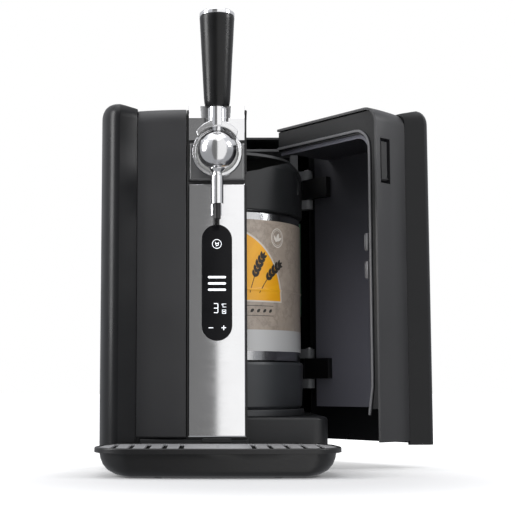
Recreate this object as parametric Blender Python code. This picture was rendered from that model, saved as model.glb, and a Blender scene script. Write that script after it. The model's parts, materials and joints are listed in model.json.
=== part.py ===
"""Counter-top beer dispenser for a six litre mini keg, with its cooled chamber open.

Metres, +Z up. The front looks towards -Y. X = 0 is the middle of the chrome column and
Y = 0 its front plane while the pieces are laid out, and one empty then moves the lot so
that the origin lies under the middle of the whole, at the height of the feet.
The door pieces are laid out closed and turned open by the empty on their hinge.
"""

import math

import bmesh
import bpy
from mathutils import Matrix, Vector

# Place of the laid out machine, and clearances
MACHINE_SHIFT_X = -0.0535
MACHINE_SHIFT_Y = -0.0991
SEAT_GAP = 0.0003
JOINT_GAP = 0.0006
CUT_OVER = 0.003

# Housing
BODY_HALF_WIDTH = 0.1305
BODY_TOP = 0.400
BODY_BACK = 0.321
SHELL_BOTTOM = 0.026
WALL = 0.003
REAR_CORNER = 0.030

# Wings: the side shells' front edges
SEAM_HALF = 0.0886
SEAM_Y = 0.006
TIP_HALF = 0.1072
TIP_Y = -0.007
WIDEST_Y = 0.040
WING_RISE = 0.0052
WING_DROP = 0.011
WING_PEAK_HALF = 0.1110
WING_TOP_ROUND = 0.0175

# Front panels
PANEL_EDGE_HALF = 0.0338
PANEL_EDGE_Y = -0.002
PANEL_WALL = 0.0027
PANEL_TOP_ROUND = 0.0175
PANEL_TOP_BACK = 0.045
LEFT_PANEL_BOTTOM = 0.036
DOOR_BOTTOM = 0.0304

# Plinth and feet
PLINTH_BOTTOM = 0.004
PLINTH_TOP = 0.057
PLINTH_HALF = 0.1228
PLINTH_FRONT = 0.012
PLINTH_CORNER = 0.018
PLINTH_EDGE = 0.003
PLINTH_TOE_FRONT = 0.0026
PLINTH_TOE_TOP = 0.0335
PLINTH_TOE_LEFT = 0.084
PLINTH_BACK_CORNER = 0.024
FOOT_RADIUS = 0.011
FOOT_INSET = 0.034
FOOT_EDGE = 0.0008

# Keg
KEG_Y = 0.115
KEG_FLOOR = 0.065
KEG_RADIUS = 0.0995
KEG_RING_RADIUS = 0.103
KEG_WALL = 0.0015
KEG_BASE_TOP = 0.1175
KEG_CROWN_BOTTOM = 0.288
KEG_SHOULDER = 0.285
KEG_DOME_TOP = 0.322
KEG_NECK_RADIUS = 0.0165
KEG_NECK_TOP = 0.334
KEG_TOE_RADIUS = 0.086
KEG_TOE_RISE = 0.012
CROWN_TOP = 0.355
CROWN_BEND = 0.338
CROWN_MOUTH_RADIUS = 0.0905
CROWN_WALL = 0.0032
CROWN_LIP_LOW = 0.326
CROWN_LIP_HALF = 0.0868
CROWN_LIP_TOP = 0.3512
SLOT_ANGLE = math.radians(-21.5)
SLOT_HEIGHT = 0.3235
SLOT_HALF_HIGH = 0.0105
SLOT_HALF_WIDE = 0.0042
BASE_RING_WALL = 0.003
BASE_RING_TAPER = 0.0016
LABEL_BOTTOM = 0.1295
LABEL_TOP = 0.277
LABEL_WALL = 0.0005
BEAD_HEIGHT = 0.198
BEAD_HALF = 0.0022
BEAD_RISE = 0.0009
VALVE_RADIUS = 0.0128
VALVE_TOP = 0.3550
VALVE_CAP_RADIUS = 0.0185
VALVE_CAP_HEIGHT = 0.009
LINER_RUN_ANGLE = math.radians(-13)

# Chamber
LINER_RADIUS = 0.1065
LINER_WALL = 0.003
LINER_START = math.radians(252)
LINER_TURN_OFF = math.radians(77)
LINER_END_X = 0.0955
LINER_FOOT = 0.0573
CEILING_BOTTOM = 0.382
CEILING_WALL = 0.003
SEAT_TOP = 0.0647
SEAT_RADIUS = 0.1039
SEAT_WELL_RADIUS = 0.080
SEAT_WELL_DEPTH = 0.003

# Column and its chrome
COLUMN_HALF = 0.0332
COLUMN_FRONT = 0.0023
COLUMN_DEPTH = 0.0085
COLUMN_FLANGE_HALF = 0.0330
COLUMN_FLANGE_TOP = 0.3966
COLUMN_FLANGE_LOW = 0.3520
TRIM_HALF = 0.03125
TRIM_TOP = 0.3134
TRIM_WALL = 0.002
TRIM_BEVEL = 0.0011
BLOCK_HALF = 0.0309
BLOCK_LOW = 0.317
BLOCK_TOP = 0.3594
BLOCK_FRONT = -0.0012
BLOCK_BEVEL = 0.0019
CAP_LOW = 0.3624
CAP_BREAK = 0.3875
CAP_TOP = 0.4026
CAP_LEAN = 0.0062
CAP_BACK = 0.0142

# Display
WINDOW_HALF = 0.0165
WINDOW_LOW = 0.140
WINDOW_HIGH = 0.2675
WINDOW_FRONT = -0.0004
WINDOW_WALL = 0.0025
BOARD_INSET = 0.0022
BOARD_WALL = 0.0016

# Tap
BALL_Y = -0.045
BALL_Z = 0.342
BALL_RADIUS = 0.0213
BALL_FLAT = 0.0203
BALL_SEAT_GAP = 0.0004
COLLAR_RING_RADIUS = 0.0276
COLLAR_BORE_RADIUS = 0.0227
COLLAR_FRONT = -0.0349
COLLAR_LIP = 0.0035
COLLAR_FOOT_RADIUS = 0.0225
COLLAR_FOOT_DROP = 0.0218
COLLAR_FOOT_HALF = 0.0196
COLLAR_FLOOR = -0.006
SHANK_RADIUS = 0.0068
SEAT_RING_BACK = -0.0305
SADDLE_IN_RADIUS = 0.0246
SADDLE_TOP_RISE = 0.0315
SADDLE_END_RISE = 0.0294
SADDLE_END_ANGLE = math.radians(41)
SADDLE_HALF_DEPTH = 0.0082
SADDLE_EDGE = 0.0012
SADDLE_FOOT_RADIUS = 0.0060
STEM_RADIUS = 0.00965
STEM_TOP = 0.3900
GRIP_BOTTOM = 0.3885
GRIP_TOP = 0.4880
GRIP_FOOT_RADIUS = 0.0123
GRIP_LOW_RADIUS = 0.01425
GRIP_LOW_HEIGHT = 0.3985
GRIP_TOP_RADIUS = 0.01895
GRIP_SOCKET_WALL = 0.0012
GRIP_CAP_TOP = 0.4965
GRIP_CAP_EDGE = 0.4925
SPOUT_NECK_RADIUS = 0.0050
SPOUT_CUP_RADIUS = 0.0086
SPOUT_TOP = 0.3146
SPOUT_LOW = 0.284
SPOUT_RADIUS = 0.00675
SPOUT_BORE = 0.0045
SPOUT_ARM_HALF = 0.0042
SPOUT_ARM_DROP = 0.0262
SPOUT_ARM_HEIGHT = 0.0058
NOZZLE_RADIUS = 0.00375
NOZZLE_BORE = 0.0022
NOZZLE_LOW = 0.2675
NOZZLE_INSERT = 0.006

# Beer line
INLET_HALF = 0.007
INLET_LOW = 0.333
INLET_TOP = 0.3735
LINE_Z = 0.3665
LINE_RADIUS = 0.0035
LINE_BOW = 0.006
STUB_LENGTH = 0.0035
COUPLER_LOW = 0.3556
COUPLER_LIP_RADIUS = 0.0135
COUPLER_RADIUS = 0.020
COUPLER_SHOULDER = 0.3615
COUPLER_FLANGE_RADIUS = 0.027
COUPLER_FLANGE = 0.004
COUPLER_PORT = 0.012

# Drip tray
TRAY_HALF = 0.1255
TRAY_WIDEST_Y = -0.077
TRAY_BACK_HALF = 0.1105
TRAY_STEP_HALF = 0.0840
TRAY_BACK_Y = -0.0008
TRAY_FRONT_Y = -0.1228
TRAY_SHOULDER_HALF = 0.086
TRAY_SHOULDER_Y = -0.1195
TRAY_TOP = 0.0298
TRAY_RIM_LOW = 0.0244
TRAY_RIM = 0.0032
TRAY_BOTTOM = 0.001
TRAY_WALL = 0.0024
TRAY_GRID_SEAT = 0.0268
TRAY_GRID_LEDGE = 0.0050
TRAY_FOOT_HALF = 0.060
TRAY_FOOT_Y = -0.094
TRAY_FOOT_RADIUS = 0.0048
TRAY_TAB_HALF = 0.0155
TRAY_TAB_TOP = 0.0345
TRAY_TAB_WALL = 0.0024
GRID_WALL = 0.0018
GRID_SLOT_PITCH = 0.0172
GRID_SLOT_WIDTH = 0.0056
GRID_SLOT_FIRST = 0.0370
GRID_SLOT_COUNT = 5
GRID_SLOT_FRONT_Y = -0.1105
GRID_SLOT_BACK_Y = -0.0150
GRID_ROSE_RADIUS = 0.0165
GRID_ROSE_SLOTS = 3
GRID_ROSE_Y = -0.062

# Door and its hinge
HINGE_X = 0.118
HINGE_Y = 0.199
DOOR_OPEN = math.radians(38.0)
DOOR_OPEN_MOST = math.radians(94.5)
DOOR_TOP_BACK = 0.162
BARREL_END = math.radians(36)
BARREL_GAP = 0.0006
KNUCKLE_RADIUS = 0.007
PIN_RADIUS = 0.003
PIN_GAP = 0.00025
HINGE_LOW = 0.088
HINGE_HIGH = 0.314
HINGE_TALL = 0.049
HINGE_EAR = 0.0117
ARM_HALF = 0.0036
ARM_SPAN = 0.040
POST_RIGHT = 0.1062
POST_LEFT = 0.0962
POST_FRONT = 0.2032
POST_BACK = 0.219
LINER_DOOR_FACE = 0.0362
LINER_DOOR_BOTTOM = 0.066
LINER_DOOR_CEILING = 0.372
LINER_DOOR_FRONT = 0.0138
LINER_DOOR_SIDE = 0.1195
LINER_DOOR_BACK = 0.188
LINER_LIP_DEPTH = 0.0045
LINER_LIP = 0.0036
LINER_ROUND = 0.016
SEAL_STEP = 0.0024
SEAL_WIDTH = 0.0030
SEAL_TURN = 0.091
SEAL_END_Z = 0.060
SEAL_END_Y = 0.0166
SEAL_RADIUS = 0.020

# Door latch
LATCH_LEFT = 0.0405
LATCH_RIGHT = 0.0570
LATCH_LOW = 0.3135
LATCH_HIGH = 0.3640
LATCH_DEPTH = 0.0085
LATCH_AXIS_Z = 0.3190
LATCH_AXIS_Y = 0.0030
LATCH_LEVER_LEFT = 0.0425
LATCH_LEVER_RIGHT = 0.0512
LATCH_LEVER_TOP = 0.3600
LATCH_LEVER_WALL = 0.0032
LATCH_PIN_RADIUS = 0.0017
LATCH_EYE_RADIUS = 0.0036
LATCH_PIN_END = 0.0590

# Cooling and air, behind the chamber
PLATE_RADIUS = 0.1016
PLATE_WALL = 0.003
PLATE_START = math.radians(81)
PLATE_END = math.radians(138)
PLATE_LOW = 0.140
PLATE_HIGH = 0.275
BOSS_HALF = 0.020
BOSS_LOW = 0.180
BOSS_HIGH = 0.220
BOSS_BACK = 0.2275
WINDOW_PLAY = 0.005
MODULE_WALL = 0.0038
SINK_HALF = 0.045
SINK_LOW = 0.150
SINK_HIGH = 0.250
SINK_PLATE = 0.005
SINK_DEPTH = 0.030
FIN_WALL = 0.0016
FIN_COUNT = 11
FAN_HALF = 0.046
FAN_DEPTH = 0.025
FAN_BORE = 0.0435
FAN_HUB = 0.018
FAN_BLADES = 7
FAN_BLADE_GAP = 0.0012
FAN_BLADE_WALL = 0.0016
FAN_BLADE_TWIST = math.radians(38)
FAN_SPOKE = 0.0024
FAN_STUB = 0.0030
PUMP_X = -0.072
PUMP_Y = 0.266
PUMP_RADIUS = 0.014
PUMP_LENGTH = 0.052
PUMP_HEAD = 0.024
PUMP_LIFT = 0.004
HOSE_RADIUS = 0.0025
SUPPLY_LEFT = 0.030
SUPPLY_RIGHT = 0.098
SUPPLY_FRONT = 0.232
SUPPLY_BACK = 0.292
SUPPLY_TOP = 0.104
CONTROL_X = 0.110
CONTROL_FRONT = 0.232
CONTROL_BACK = 0.302
CONTROL_LOW = 0.180
CONTROL_HIGH = 0.300
CONTROL_WALL = 0.0016
GRILLE_SLOTS = 13
GRILLE_HALF = 0.038
GRILLE_LOW = 0.158
GRILLE_HIGH = 0.242
GRILLE_SLOT_HIGH = 0.0034
INTAKE_SLOTS = 8
INTAKE_LOW = 0.300
INTAKE_HIGH = 0.350
INLET_SOCKET_X = 0.060
INLET_SOCKET_Z = 0.078
INLET_SOCKET_HALF = 0.0135
INLET_SOCKET_HIGH = 0.0105
INLET_SOCKET_DEPTH = 0.018
INLET_SOCKET_RIM = 0.0025
INLET_SOCKET_WALL = 0.0022

# Facets round a full turn
KEG_FACETS = 48
TAP_FACETS = 28
SMALL_FACETS = 16
CORNER_FACETS = 6
SHARP_ANGLE = math.radians(35)

FINISHES = {
    "satin_charcoal": ((0.045, 0.046, 0.050), 0.42, 0.0),
    "black_plastic": ((0.016, 0.016, 0.018), 0.50, 0.0),
    "grey_plastic": ((0.090, 0.092, 0.098), 0.45, 0.0),
    "chrome": ((0.82, 0.82, 0.83), 0.08, 1.0),
    "brushed_steel": ((0.66, 0.66, 0.66), 0.24, 1.0),
    "aluminium": ((0.72, 0.73, 0.74), 0.35, 1.0),
    "gloss_black": ((0.008, 0.008, 0.010), 0.08, 0.0),
    "label_print": ((0.35, 0.27, 0.21), 0.45, 0.0),
    "circuit_green": ((0.02, 0.16, 0.07), 0.45, 0.0),
    "rubber": ((0.02, 0.02, 0.02), 0.80, 0.0),
    "clear_hose": ((0.70, 0.73, 0.74), 0.25, 0.0),
    "ceramic_white": ((0.80, 0.80, 0.78), 0.50, 0.0),
}

carriers = {}


def clear_scene():
    for old in list(bpy.data.objects):
        bpy.data.objects.remove(old, do_unlink=True)


def add_carrier(name, origin, turn=0.0):
    """An empty on a joint's axis; the pieces on it are laid out with the turn undone."""
    empty = bpy.data.objects.new(name + "_axis", None)
    bpy.context.scene.collection.objects.link(empty)
    empty.location = origin
    empty.rotation_euler = (0, 0, turn)
    carriers[name] = (empty, Vector(origin))
    return empty


def build_carriers():
    machine = add_carrier("machine", (0, 0, 0))
    machine.location = (MACHINE_SHIFT_X, MACHINE_SHIFT_Y, 0)
    add_carrier("door", (HINGE_X, HINGE_Y, 0), DOOR_OPEN).parent = machine
    add_carrier("tap", (0, BALL_Y, BALL_Z)).parent = machine
    add_carrier("keg", (0, KEG_Y, KEG_FLOOR)).parent = machine
    add_carrier("tray", (0, TRAY_BACK_Y, 0)).parent = machine
    add_carrier("fan", (0, fan_front(), sink_middle())).parent = machine
    latch = add_carrier("latch", (LATCH_LEVER_LEFT, LATCH_AXIS_Y, LATCH_AXIS_Z))
    latch.parent = carriers["door"][0]
    latch.location = latch.location - carriers["door"][1]


def finish_material(finish):
    material = bpy.data.materials.get(finish)
    if material:
        return material
    colour, roughness, metallic = FINISHES[finish]
    material = bpy.data.materials.new(finish)
    material.use_nodes = True
    shader = material.node_tree.nodes["Principled BSDF"]
    shader.inputs["Base Color"].default_value = (*colour, 1)
    shader.inputs["Roughness"].default_value = roughness
    shader.inputs["Metallic"].default_value = metallic
    return material


def add_object(name, bm, carrier):
    empty, origin = carriers[carrier]
    bmesh.ops.recalc_face_normals(bm, faces=bm.faces)
    bmesh.ops.translate(bm, verts=bm.verts, vec=-origin)
    mesh = bpy.data.meshes.new(name)
    bm.to_mesh(mesh)
    bm.free()
    piece = bpy.data.objects.new(name, mesh)
    bpy.context.scene.collection.objects.link(piece)
    piece.parent = empty
    return piece


def add_piece(name, bm, finish, carrier="machine"):
    piece = add_object(name, bm, carrier)
    piece.data.shade_smooth()
    piece.data.set_sharp_from_angle(angle=SHARP_ANGLE)
    piece.data.materials.append(finish_material(finish))
    return piece


def shape_with(piece, bm, operation="DIFFERENCE", carrier="machine"):
    """A Boolean of the piece with a hidden helper; returns the helper."""
    helper = add_object(f"{piece.name}_{operation.lower()}_{len(piece.modifiers)}", bm, carrier)
    helper.hide_render = True
    helper.display_type = "WIRE"
    step = piece.modifiers.new(operation.title(), "BOOLEAN")
    step.operation = operation
    step.solver = "EXACT"
    step.object = helper
    return helper


def arc(centre, radii, start, end, steps=CORNER_FACETS):
    """Points along an ellipse's arc, both ends included."""
    across, along = radii if isinstance(radii, tuple) else (radii, radii)
    turns = [start + (end - start) * i / steps for i in range(steps + 1)]
    return [(centre[0] + across * math.cos(t), centre[1] + along * math.sin(t)) for t in turns]


def mirrored(points, side):
    return [(side * x, y) for x, y in points]


def rectangle(low, high):
    return [(low[0], low[1]), (high[0], low[1]), (high[0], high[1]), (low[0], high[1])]


def rounded_rectangle(low, high, radius, steps=CORNER_FACETS):
    quarter = math.pi / 2
    corners = [
        (high[0] - radius, high[1] - radius),
        (low[0] + radius, high[1] - radius),
        (low[0] + radius, low[1] + radius),
        (high[0] - radius, low[1] + radius),
    ]
    points = []
    for turn, corner in enumerate(corners):
        points += arc(corner, radius, turn * quarter, (turn + 1) * quarter, steps)
    return points


PLACERS = {
    "x": lambda u, v, w: (w, u, v),
    "y": lambda u, v, w: (u, w, v),
    "z": lambda u, v, w: (u, v, w),
}


def prism(outline, low, high, along="z"):
    """An outline pushed from one place to another along an axis."""
    place = PLACERS[along]
    bm = bmesh.new()
    verts = [bm.verts.new(place(u, v, low)) for u, v in outline]
    face = bm.faces.new(verts)
    grown = bmesh.ops.extrude_face_region(bm, geom=[face])["geom"]
    moved = [item for item in grown if isinstance(item, bmesh.types.BMVert)]
    bmesh.ops.translate(bm, verts=moved, vec=place(0, 0, high - low))
    bmesh.ops.remove_doubles(bm, verts=bm.verts, dist=SEAT_GAP / len(outline) / len(outline))
    return bm


def rounded_stack(outline_at, low, high, radius):
    """A plan pushed up; outline_at says how it draws back over the rounded top."""
    bend = arc((radius, high - radius), radius, math.pi, math.pi / 2)
    bm = bmesh.new()
    rings = []
    for back, z in [(0, low), *bend]:
        rings.append([bm.verts.new((x, y, z)) for x, y in outline_at(back)])
    for lower, upper in zip(rings, rings[1:]):
        for i in range(len(lower)):
            j = i - 1
            bm.faces.new((lower[j], lower[i], upper[i], upper[j]))
    bm.faces.new(rings[0])
    bm.faces.new(rings[-1])
    bmesh.ops.recalc_face_normals(bm, faces=bm.faces)
    return bm


def block(low, high, edge=0.0):
    bm = prism(rectangle(low[:2], high[:2]), low[2], high[2])
    if edge:
        bmesh.ops.bevel(bm, geom=bm.edges, offset=edge, segments=1, affect="EDGES", profile=0.5)
    return bm


AXIS_TURNS = {
    "z": Matrix.Identity(3),
    "y": Matrix.Rotation(-math.pi / 2, 3, "X"),
    "x": Matrix.Rotation(math.pi / 2, 3, "Y"),
}


def turned(profile, centre, along="z", steps=TAP_FACETS):
    """A closed profile of (radius, height) spun about an axis through centre."""
    bm = bmesh.new()
    verts = [bm.verts.new((radius, 0, height)) for radius, height in profile]
    for first, second in zip(verts, verts[1:] + verts[:1]):
        if first.co.x > 0 or second.co.x > 0:
            bm.edges.new((first, second))
    bmesh.ops.spin(
        bm,
        geom=bm.verts[:] + bm.edges[:],
        cent=(0, 0, 0),
        axis=(0, 0, 1),
        angle=2 * math.pi,
        steps=steps,
        use_merge=True,
    )
    bmesh.ops.remove_doubles(bm, verts=bm.verts, dist=SEAT_GAP / steps)
    bmesh.ops.rotate(bm, verts=bm.verts, cent=(0, 0, 0), matrix=AXIS_TURNS[along])
    bmesh.ops.translate(bm, verts=bm.verts, vec=centre)
    return bm


def merged(first, second):
    """Two meshes in one, for solids that a Boolean takes together."""
    mesh = bpy.data.meshes.new("merge")
    second.to_mesh(mesh)
    second.free()
    first.from_mesh(mesh)
    bpy.data.meshes.remove(mesh)
    return first


def sink_middle():
    return (SINK_LOW + SINK_HIGH) / 2


def module_front():
    return BOSS_BACK + SEAT_GAP


def sink_front():
    return module_front() + MODULE_WALL + SEAT_GAP


def fan_front():
    return sink_front() + SINK_PLATE + SINK_DEPTH + SEAT_GAP


def panel_y(x):
    """The front panels' depth at a distance from the middle."""
    share = (abs(x) - PANEL_EDGE_HALF) / (SEAM_HALF - PANEL_EDGE_HALF)
    return PANEL_EDGE_Y + (SEAM_Y - PANEL_EDGE_Y) * share * share


def wing_front(inset):
    """From the seam out over the tip to the widest place, set in by a wall."""
    sweep = arc(
        (TIP_HALF, WIDEST_Y),
        (BODY_HALF_WIDTH - TIP_HALF - inset, WIDEST_Y - TIP_Y - inset),
        -math.pi / 2,
        0,
        2 * CORNER_FACETS,
    )
    return [(SEAM_HALF, SEAM_Y + inset), *sweep]


def wing_profile(inset):
    """The side shells' outline seen from the front, crowned at the top."""
    low = SHELL_BOTTOM - CUT_OVER * 2
    crown = arc(
        (WING_PEAK_HALF, BODY_TOP - WING_DROP),
        (BODY_HALF_WIDTH - WING_PEAK_HALF - inset, WING_DROP + WING_RISE - inset),
        0,
        math.pi / 2,
    )
    inner = SEAM_HALF - inset / WALL * CUT_OVER
    return [(inner, low), (BODY_HALF_WIDTH - inset, low), *crown, (inner, BODY_TOP - inset)]


def fixed_back(inset):
    """From the widest place round the rear corner to the seam line."""
    middle = (BODY_HALF_WIDTH - REAR_CORNER, BODY_BACK - REAR_CORNER)
    return arc(middle, REAR_CORNER - inset, 0, math.pi / 2)


def drawn_back(points, back):
    return [(x, y + back) for x, y in points]


def wing_stack(side, front, rest, inset):
    """A side shell's plan or hollow, whose front draws back over the rounded top."""
    low = SHELL_BOTTOM - inset / WALL * CUT_OVER
    top = BODY_TOP + WING_RISE + SEAT_GAP - inset
    return rounded_stack(
        lambda back: mirrored([*drawn_back(front, back), *rest], side),
        low,
        top,
        WING_TOP_ROUND - inset,
    )


def shell_solid(name, side, outer, inner, carrier):
    """A side shell: its solid, crowned, and hollowed from inside and below."""
    shell = add_piece(name, outer, "satin_charcoal", carrier)
    crown_outer = prism(mirrored(wing_profile(0), side), TIP_Y - BODY_BACK, 2 * BODY_BACK, "y")
    shape_with(shell, crown_outer, "INTERSECT", carrier)
    hollow = shape_with(shell, inner, "DIFFERENCE", carrier)
    crown_inner = prism(mirrored(wing_profile(WALL), side), TIP_Y - BODY_BACK, 2 * BODY_BACK, "y")
    shape_with(hollow, crown_inner, "INTERSECT", carrier)
    return shell


def build_left_shell():
    inner_x = SEAM_HALF - CUT_OVER
    outer = wing_stack(-1, wing_front(0), [*fixed_back(0), (SEAM_HALF, BODY_BACK)], 0)
    inner = wing_stack(
        -1,
        [(inner_x, SEAM_Y + WALL), *wing_front(WALL)],
        [*fixed_back(WALL), (inner_x, BODY_BACK - WALL)],
        WALL,
    )
    shell_solid("left_side_shell", -1, outer, inner, "machine")


def build_right_rear_shell():
    start = HINGE_Y + BARREL_GAP
    outer = [(SEAM_HALF, start), (BODY_HALF_WIDTH, start), *fixed_back(0), (SEAM_HALF, BODY_BACK)]
    inner = [
        (SEAM_HALF - CUT_OVER, start - CUT_OVER),
        (BODY_HALF_WIDTH - WALL, start - CUT_OVER),
        *fixed_back(WALL),
        (SEAM_HALF - CUT_OVER, BODY_BACK - WALL),
    ]
    low = SHELL_BOTTOM - CUT_OVER
    top = BODY_TOP + 2 * WING_RISE
    shell = shell_solid(
        "right_rear_shell", 1, prism(outer, SHELL_BOTTOM, top), prism(inner, low, top), "machine"
    )
    clear_hinge(shell)


def build_door_shell():
    hinge = (HINGE_X, HINGE_Y)
    reach = BODY_HALF_WIDTH - HINGE_X
    barrel = arc(hinge, reach, 0, math.pi, 2 * CORNER_FACETS)
    outer = wing_stack(1, wing_front(0), [*barrel, (SEAM_HALF, HINGE_Y)], 0)
    away = (reach + CUT_OVER) * 2
    inner = wing_stack(
        1,
        [(SEAM_HALF - CUT_OVER, SEAM_Y + WALL), *wing_front(WALL)],
        [
            *arc(hinge, reach - WALL, 0, BARREL_END),
            (HINGE_X + away * math.cos(BARREL_END), HINGE_Y + away * math.sin(BARREL_END)),
            (SEAM_HALF - CUT_OVER, HINGE_Y + away),
        ],
        WALL,
    )
    shell_solid("door_side_shell", 1, outer, inner, "door")


def front_panel(name, side, bottom, top_back, carrier):
    """A skin bent over the top edge, given its wall by Solidify."""
    columns = 8
    half_gap = JOINT_GAP / 2
    places = [
        PANEL_EDGE_HALF + (SEAM_HALF - half_gap - PANEL_EDGE_HALF) * i / columns
        for i in range(columns + 1)
    ]
    rows = []
    for x in places:
        front = panel_y(x)
        bend = arc(
            (front + PANEL_TOP_ROUND, BODY_TOP - PANEL_TOP_ROUND),
            PANEL_TOP_ROUND,
            math.pi,
            math.pi / 2,
        )
        section = [(front, bottom), *bend, (top_back, BODY_TOP)]
        rows.append([(side * x, y, z) for y, z in section])
    bm = bmesh.new()
    grid = [[bm.verts.new(point) for point in row] for row in rows]
    for first, second in zip(grid, grid[1:]):
        for j in range(len(first) - 1):
            bm.faces.new((first[j], second[j], second[j + 1], first[j + 1]))
    panel = add_piece(name, bm, "satin_charcoal", carrier)
    wall = panel.modifiers.new("Wall", "SOLIDIFY")
    wall.thickness = PANEL_WALL
    wall.use_even_offset = True
    # The open skin's normals face out of the bend, so the wall goes inwards
    outwards = panel.data.polygons[0].normal.y < 0
    wall.offset = -1 if outwards else 1
    return panel


def clear_hinge(piece):
    """Cuts what the door's round edge sweeps, and its side at the widest opening."""
    reach = BODY_HALF_WIDTH - HINGE_X
    room = reach + BARREL_GAP
    swept = reach * math.tan(DOOR_OPEN_MOST / 2) + BARREL_GAP
    outline = [
        *arc((HINGE_X, HINGE_Y), room, math.pi / 2, 3 * math.pi / 2, KEG_FACETS // 2),
        (BODY_HALF_WIDTH + CUT_OVER, HINGE_Y - room),
        (BODY_HALF_WIDTH + CUT_OVER, HINGE_Y + swept),
        (HINGE_X + room / 2, HINGE_Y + swept),
    ]
    shape_with(piece, prism(outline, -CUT_OVER, BODY_TOP * 2))


def build_plinth():
    low_corner = (-PLINTH_HALF, PLINTH_FRONT)
    high_corner = (PLINTH_HALF, BODY_BACK - WALL - JOINT_GAP)
    front_shape = rounded_rectangle(low_corner, high_corner, PLINTH_CORNER)
    back_shape = rounded_rectangle(low_corner, high_corner, PLINTH_BACK_CORNER)
    half_way = len(front_shape) // 2
    outline = back_shape[:half_way] + front_shape[half_way:]
    bm = prism(outline, PLINTH_BOTTOM, PLINTH_TOP)
    top_edges = [
        edge for edge in bm.edges if all(v.co.z > PLINTH_TOP - SEAT_GAP for v in edge.verts)
    ]
    bmesh.ops.bevel(
        bm, geom=top_edges, offset=PLINTH_EDGE, segments=2, affect="EDGES", profile=0.5
    )
    plinth = add_piece("base_plinth", bm, "satin_charcoal")
    toe = block(
        (-PLINTH_TOE_LEFT, PLINTH_TOE_FRONT, PLINTH_BOTTOM),
        (PANEL_EDGE_HALF, PLINTH_FRONT + PLINTH_CORNER, PLINTH_TOE_TOP),
    )
    shape_with(plinth, toe, "UNION")
    clear_hinge(plinth)
    across = PLINTH_HALF - FOOT_INSET
    along = (PLINTH_FRONT + FOOT_INSET, BODY_BACK - FOOT_INSET)
    for side, word in ((-1, "left"), (1, "right")):
        for y, place in zip(along, ("front", "rear")):
            profile = [
                (0, 0),
                (FOOT_RADIUS - FOOT_EDGE, 0),
                (FOOT_RADIUS, FOOT_EDGE),
                (FOOT_RADIUS, PLINTH_BOTTOM - SEAT_GAP),
                (0, PLINTH_BOTTOM - SEAT_GAP),
            ]
            foot = turned(profile, (side * across, y, 0), steps=SMALL_FACETS)
            add_piece(f"foot_{place}_{word}", foot, "rubber")


def build_keg_seat():
    profile = [
        (0, LINER_FOOT),
        (SEAT_RADIUS, LINER_FOOT),
        (SEAT_RADIUS, SEAT_TOP - FOOT_EDGE),
        (SEAT_RADIUS - FOOT_EDGE, SEAT_TOP),
        (SEAT_WELL_RADIUS, SEAT_TOP),
        (SEAT_WELL_RADIUS - SEAT_WELL_DEPTH, SEAT_TOP - SEAT_WELL_DEPTH),
        (0, SEAT_TOP - SEAT_WELL_DEPTH),
    ]
    seat = turned(profile, (0, KEG_Y, 0), steps=KEG_FACETS)
    add_piece("keg_seat", seat, "grey_plastic")


def build_top_cover():
    seam = SEAM_HALF - JOINT_GAP / 2
    back = BODY_BACK - WALL - JOINT_GAP / 2
    panel_back = PANEL_TOP_BACK + JOINT_GAP
    door_back = DOOR_TOP_BACK + JOINT_GAP * 2
    edge = PANEL_EDGE_HALF - SEAT_GAP
    outline = [
        (-COLUMN_HALF, CAP_BACK + SEAT_GAP),
        (edge, CAP_BACK + SEAT_GAP),
        (edge, door_back),
        (seam, door_back),
        (seam, back),
        (-seam, back),
        (-seam, panel_back),
        (-COLUMN_HALF, panel_back),
    ]
    add_piece("top_cover", prism(outline, BODY_TOP - WALL, BODY_TOP), "satin_charcoal")


def build_rear_panel():
    half = SEAM_HALF - JOINT_GAP / 2
    panel = add_piece(
        "rear_panel",
        block((-half, BODY_BACK - WALL, SHELL_BOTTOM), (half, BODY_BACK, BODY_TOP)),
        "black_plastic",
    )
    cut_low = BODY_BACK - WALL - CUT_OVER
    cut_high = BODY_BACK + CUT_OVER
    rows = [(GRILLE_LOW, GRILLE_HIGH, GRILLE_SLOTS), (INTAKE_LOW, INTAKE_HIGH, INTAKE_SLOTS)]
    slots = None
    for low, high, count in rows:
        for i in range(count):
            z = low + (high - low) * i / (count - 1)
            slot = rounded_rectangle(
                (-GRILLE_HALF, z - GRILLE_SLOT_HIGH / 2),
                (GRILLE_HALF, z + GRILLE_SLOT_HIGH / 2),
                GRILLE_SLOT_HIGH / 2 * 0.999,
                2,
            )
            cut = prism(slot, cut_low, cut_high, "y")
            slots = merged(slots, cut) if slots else cut
    socket = rounded_rectangle(
        (INLET_SOCKET_X - INLET_SOCKET_HALF, INLET_SOCKET_Z - INLET_SOCKET_HIGH),
        (INLET_SOCKET_X + INLET_SOCKET_HALF, INLET_SOCKET_Z + INLET_SOCKET_HIGH),
        INLET_SOCKET_RIM,
        2,
    )
    slots = merged(slots, prism(socket, cut_low, cut_high, "y"))
    shape_with(panel, slots)


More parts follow.
